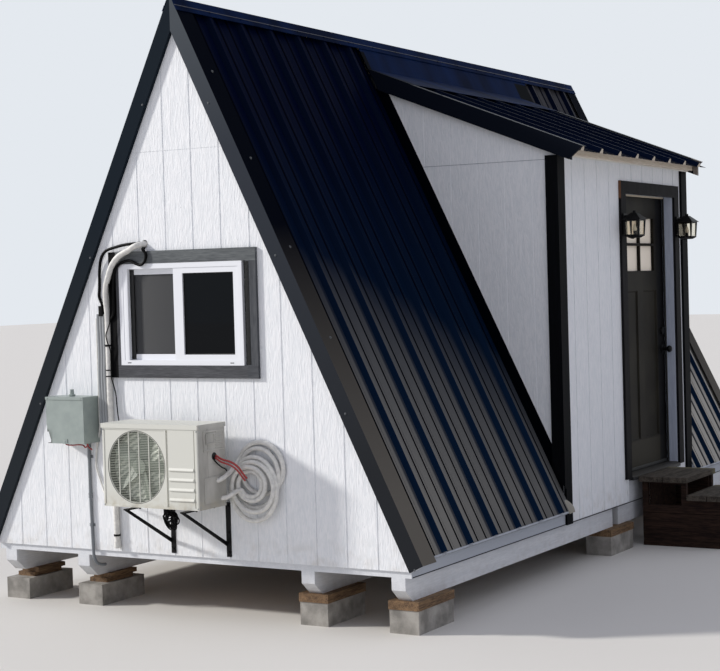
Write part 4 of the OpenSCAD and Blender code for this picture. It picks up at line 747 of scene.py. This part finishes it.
# Pipes: two copper pipes in white foam, wound with white tape whose turns lap by half, and at the wall's
# right the spare length in a coil whose ends go into the unit's side. The tape is satin and creased.
lagging = finish_of("white wrapping tape over foam", "#dad9d4", 0.55)
creases = noise(26)
surface(tones(creases, "#cbcac6", "#e4e2dc", 0.35, 0.7), creases, 1.6)
skid_z = skid_top * 1000
drop_x, drop_y = -552, -18.9
route = smooth([
    (-262, 110, 1895), (-262, 60, 1895), (-262, 10, 1894), (-294, -41, 1885), (-352, -45, 1859), (-427, -45, 1825),
    (-485, -41, 1772), (-519, -41, 1700), (-542, -37, 1635), (drop_x, -28, 1555), (drop_x, drop_y, 1455),
    (drop_x, drop_y, 995), (-548, drop_y, 700), (-536, drop_y, 400), (-530, drop_y, 60), (-530, drop_y, 0)],
    40) + (0, 0, skid_z)
length = np.concatenate([[0], np.cumsum(np.linalg.norm(np.diff(route, axis=0), axis=1))])
step, tape = 4, 46
even = np.stack([np.interp(np.arange(0, length[-1], step), length, route[:, k]) for k in range(3)], -1)
lap = 17.9 - 0.9 * ((np.arange(len(even)) * step / tape) % 1)
pipe_cover = piece("pipe_cover", [pipe(even, lap, 24)], lagging, crease=50)
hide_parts("pipe_run")
cuff = turned([(18.2, -22), (19.6, -20), (20.4, 0), (19.6, 20), (18.2, 22), (17, 22), (17, -22), (18.2, -22)], 24)
cuffs = placed(cuff, [[-535.4, drop_y, 374 + skid_z], [-530.6, drop_y, 84 + skid_z]], (0.02, 0, -1))
piece("pipe_cuffs", [cuffs], lagging)
clip = turned([(18, -6), (20.6, -6), (20.6, 6), (18, 6), (18, -6)], 24)
clip_spots = [(x, drop_y, h + skid_z) for x, h in ((drop_x, 1290), (-549.5, 800), (-531.6, 140))]
piece("pipe_clips", [placed(clip, clip_spots, (0, 0, 1))], black_iron)
# The coil hangs in loose loops: each row is a loop's middle (x, z), its half width and height, and its distance
# from the wall. The way through them is an ellipse whose values pass from row to row, with a tail at each end.
loops = np.array([(556, 902, 164, 158, -15), (552, 896, 140, 134, -17), (521, 808, 146, 168, -34),
                  (526, 768, 164, 180, -52), (507, 806, 124, 116, -68), (502, 813, 86, 78, -52),
                  (500, 815, 74, 70, -50)], float)
turn = np.arange(0, 5.86, 1 / 14)
mid_x, mid_z, wide, tall, off_wall = (np.interp(turn, np.arange(7), column) for column in loops.T)
angle = math.radians(158) - 2 * np.pi * turn
hung = np.stack([mid_x + wide * np.cos(angle), off_wall, mid_z + tall * np.sin(angle)], -1)
way_in = [(330, -184, 846), (356, -184, 848), (378, -172, 852), (396, -120, 880), (398, -52, 920)]
way_out = [(416, -84, 772), (392, -128, 748), (356, -150, 742), (330, -152, 742)]
hung = smooth(np.concatenate([way_in, hung, way_out]), 6)
lap = 13.8 - 0.7 * ((np.linspace(0, 5000, len(hung)) / 55) % 1)
coil_cover = piece("coil_cover", [pipe(hung, lap, 18, (0.05, 1, 0.1))], lagging, crease=50)
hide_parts("tube_coil")

# Control cables: thin black cords tied to the pipe, a thicker cable to its connector, and the tied bundle
# under the unit. They are clipped down all along and end in the wall and the unit. Dull black rubber.
rubber = plain_finish("black cable rubber", "#070708", 0.5, 6, 0.3, specular=0.08)


def cord(points, radius, beside=0):
    """A cord of a radius along a smooth curve through points: their heights count from the top of the skids,
    their x from `beside`."""
    return pipe(smooth(points, 10) + (beside, 0, skid_z), radius, 10)


thin = cord([
    (38, -40, 1700), (40, -42, 1662), (42, -44, 1600), (44, -45, 1496), (36, -44, 1425), (20, -46, 1385),
    (8, -46, 1354), (16, -45, 1310), (30, -37, 1262), (26, -30, 1200), (26, -30, 1100), (30, -26, 1070),
    (46, -20, 1000), (52, -20, 927), (66, -24, 844), (120, -60, 780)], 3.5, drop_x)
thick = cord([
    (248, 80, 1899), (248, 50, 1899), (248, 0, 1899), (224, -24, 1898), (164, -26, 1894), (95, -26, 1883),
    (12, -25, 1862), (-32, -22, 1817), (-54, -14, 1747), (-65, -8, 1640), (-70, -8, 1592), (-58, -10, 1560),
    (-46, -12, 1542), (-46, -12, 1500), (-46, -12, 1450)], 9, drop_x)
over_window = cord([
    (-262, 30, 1868), (-262, -8, 1868), (-256, -28, 1862), (-236, -29, 1840), (-234, -29, 1812), (-247, -29, 1785),
    (-275, -29, 1770), (-310, -29, 1778), (-345, -29, 1794), (-385, -29, 1797), (-430, -29, 1782),
    (-468, -29, 1750), (-484, -29, 1700), (-490, -29, 1620), (-490, -29, 1540), (-496, -27, 1480),
    (-530, -20, 1440), (-545, -19, 1420)], 8.5)
to_unit = cord([
    (-500, -20, 927), (-486, -24, 844), (-432, -60, 780), (-316, -83, 740), (-276, -90, 735), (-252, -90, 735)], 3.5)
bundle = cord([
    (0, -150, 392), (0, -150, 370.5), (0, -151, 332), (-36, -156, 280), (-2, -160, 236), (48, -164, 262),
    (44, -168, 312), (-4, -172, 318), (-30, -177, 276), (12, -181, 228), (54, -185, 250), (58, -189, 300),
    (74, -192, 320)], 5)
from_side = cord([
    (324, -212, 664), (366.5, -212, 663), (372, -206, 640), (386, -172, 604), (404, -152, 588), (407, -146, 575),
    (408, -144, 560)], 4)
connector = board((-615, -29.7, skid_z + 1468), (-581, -0.3, skid_z + 1530), 2, 5)
tied = board((-24, -196, skid_z + 310), (10, -146, skid_z + 344), 2, 8)
# Six small turns of the bundle: each a ring of half width and half height, tipped by a lean in radians.
sixths = np.arange(-1, 9) * np.pi / 3
knots = [cord(np.stack([x + wide * np.cos(sixths), y + 14 * np.sin(sixths + lean), h + tall * np.sin(sixths)], -1), 4)
         for x, y, h, wide, tall, lean in (
             (4, -158, 274, 34, 30, 0.3), (26, -172, 288, 26, 38, 1.1), (-14, -166, 290, 22, 24, 2.0),
             (36, -184, 254, 20, 30, 2.7), (10, -190, 306, 30, 16, 0.8), (50, -176, 280, 16, 26, 1.9))]
ties = placed(clip * (1.02, 1.02, 0.5), [(drop_x, drop_y, skid_z + h) for h in (1141, 1104)], (0, 0, 1))
cords = [thin, thick, over_window, to_unit, bundle, from_side, connector, tied, *knots, ties]
wall_cords = piece("cable_covers", cords, rubber, crease=50)
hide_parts("black_cables")
red = plain_finish("red cable rubber", "#9c2c2c", 0.4, 6, 0.2)
red_cords = [
    cord([(324, -192, 670), (368, -192, 668), (390, -166, 645), (436, -142, 627), (470, -122, 597),
          (494, -108, 557), (514, -102, 530), (524, -100, 510)], 6),
    cord([(324, -200, 660), (368, -200, 657), (392, -176, 631), (434, -152, 612), (466, -132, 584),
          (490, -118, 546), (510, -112, 518), (520, -108, 498)], 5),
    cord([(-699, -70, 721), (-695, -70, 699.5), (-685, -74, 677), (-657, -76, 661), (-649, -76, 651)], 4),
    cord([(-880, -62, 712), (-880, -62, 700), (-868, -66, 686), (-820, -70, 684), (-760, -78, 689),
          (-716, -88, 688), (-690, -96, 676), (-672, -98, 690), (-684, -92, 703), (-686, -90, 716)], 4)]
red_covers = piece("red_cable_covers", red_cords, red, crease=50)
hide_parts("red_wires")
# Three grey cables go on from the black connector and pass in front of the pipe into the unit's left side. A thin
# white one runs beside them. Their vinyl is dull and a little wavy along its length.
grey_jacket = finish_of("grey vinyl cable jacket", "#9b9ea0", 0.55, specular=0.2)
surface(None, noise(8, (1, 1, 3), detail=2.0), 0.4)
feeds = [cord([
    (x, -16, 1515), (x, -16, 1480), (x - 3, -12, 1395), (x, -12, 1255), (x - 5, -12, 1095), (x, -14, 972),
    (x + 4, -20, 852), (-585 + k * 18, -52, 752), (-540, -66 - 14 * k, 692), (-440, -100 - 20 * k, 634 - 20 * k),
    (-370, -130 - 20 * k, 622 - 22 * k), (-330, -140 - 20 * k, 624 - 22 * k), (-318, -144 - 20 * k, 626 - 22 * k)],
    10.4) for k, x in enumerate((-629, -608, -587))]
piece("grey_cables", feeds, grey_jacket, crease=50)
thin_line = cord([
    (-648, -12, 1495), (-646, -12, 1455), (-649, -8, 1255), (-650, -8, 995), (-650, -8, 792), (-661, -8, 740),
    (-676, -8, 681), (-690, -8, 589), (-683, -8, 528), (-663, -9, 479), (-638, -14, 425), (-600, -44, 401),
    (-552, -62, 388), (-460, -104, 380), (-380, -150, 384), (-330, -166, 392), (-318, -170, 394)], 6)
piece("white_cable", [thin_line], lagging, crease=50)

# Supply box: grey-green enamelled steel with a hooded lid, hinge, screws and a hasp, on a grey conduit with
# couplings and straps. The enamel is slightly glossy and uneven; its lower left corner is bent and coloured dark.
box_paint = finish_of("grey-green baked enamel on steel", "#939d99", 0.42)
worn = noise(70, seed=7.0)
coat = tones(worn, "#8f9995", "#9aa49f", 0.35, 0.7)
dark_corner = tones(zone((0, -905, -935), (2, 1120, 1060)), coat, "#3a3d3b")
surface(tones(zone((2, 1021, 1020), (0, -772, -771)), dark_corner, "#6a6f73"), worn, 0.5, 0.6)
dress(box_paint, "supply_box")
conduit_grey = plain_finish("weathered grey vinyl conduit", "#73787d", 0.5, 12, 0.2)
run = smooth([
    (-741, -10, 761), (-741, -10, 697), (-741, -10, 420), (-735, -10, 120), (-731, -10, 20), (-727, -6, -20),
    (-723, 20, -52), (-720, 80, -66), (-719, 150, -68)], 16) + (0, 0, skid_z)
collar = turned([(9, -16), (12.4, -15), (12.4, -3), (11.2, 0), (12.4, 3), (12.4, 15), (9, 16), (9, -16)], 20)
collars = [placed(collar, [[x, -10, h + skid_z]], (0, 0, 1)) for x, h in ((-741, 683), (-740, 372))]
saddles = placed(clip * (0.53, 0.53, 1.4), [(x, -10, h + skid_z) for x, h in ((-741, 610), (-738, 190))], (0, 0, 1))
straps = [board((-762, -2.4, skid_z + h - 9), (-718, -0.2, skid_z + h + 9), 0, 1) for h in (610, 190)]
piece("conduit_cover", [pipe(run, 9.5, 18), *collars, saddles, *straps], conduit_grey)
gland = turned([(17, 0), (20, 2), (20, 11), (17, 13), (13, 13), (12.4, 30), (8, 36), (0, 36)], 8)
knockout = turned([(0, 1.4), (14, 1.4), (16, 0.3), (0, 0.3)], 24)
fittings = [placed(gland, [[-807, -70, 1308]], (0, 0, 1)),
            placed(knockout, [[-820, -60, 1025], [-880, -60, 1025]], (0, 0, -1)),
            placed(pan_screw, lattice([-940, -674], [-144], [1299.5]), (0, -1, 0)),
            placed(pan_screw, [[-659, -70, 1240], [-659, -70, 1080]], (1, 0, 0)),
            board((-826, -143.6, 1024), (-790, -139.6, 1052), 2, 1.2),
            placed(knockout * (0.35, 0.35, 1.6), [[-808, -142.6, 1036]], (0, -1, 0))]
piece("box_fittings", fittings, box_paint)

# Steps: weathered boards nailed on a carcass of red-brown boards, open under the top tread. The carcass is rough
# and dull with a dark seam between its boards; the treads have gone silver, with a lighter tan strip at the rear.
brown_board = finish_of("weathered red-brown board", "#2b1a16", 0.85, specular=0.1)
height = grain(0, 6, 17.0)
planks = tones(height, "#1b1311", "#372820", 0.4, 0.62)
surface(tones(zone((2, 236, 239), (2, 244, 241)), planks, "#080504"), height, 1.6)
dress(brown_board, "step_carcass")
tread_board = finish_of("silvered tread board", "#3e3935", 0.85, specular=0.15)
height = grain(1, 6, 19.0)
silver = tones(height, "#2e2a25", "#59524a", 0.4, 0.62)
surface(tones(zone((1, 3690, 3775)), silver, "#6f6a54"), height, 1.8)
dress(tread_board, "step_treads")
linings = [board((1603, 3240, z0), (1621, 3720, z1), 1, 2) for z0, z1 in ((205, 330), (331.5, 458))]
linings += [board((1624, 3700, z0), (1884, 3719, z1), 0, 2) for z0, z1 in ((284, 370), (371.5, 458))]
piece("step_linings", linings, brown_board)
# Two nails at each end of each tread board, rusted to a dark brown.
tread_nails = [placed(nail, lattice(x, [3219, 3741], [top]), (0, 0, 1))
               for x, top in (([1584, 1684, 1771, 1871], 500), ([1950, 2020, 2104, 2174], 376))]
rusty = plain_finish("rusted nail steel", "#4a3226", 0.8, 2, 0.3, Metallic=0.3)
piece("tread_nails", tread_nails, rusty)
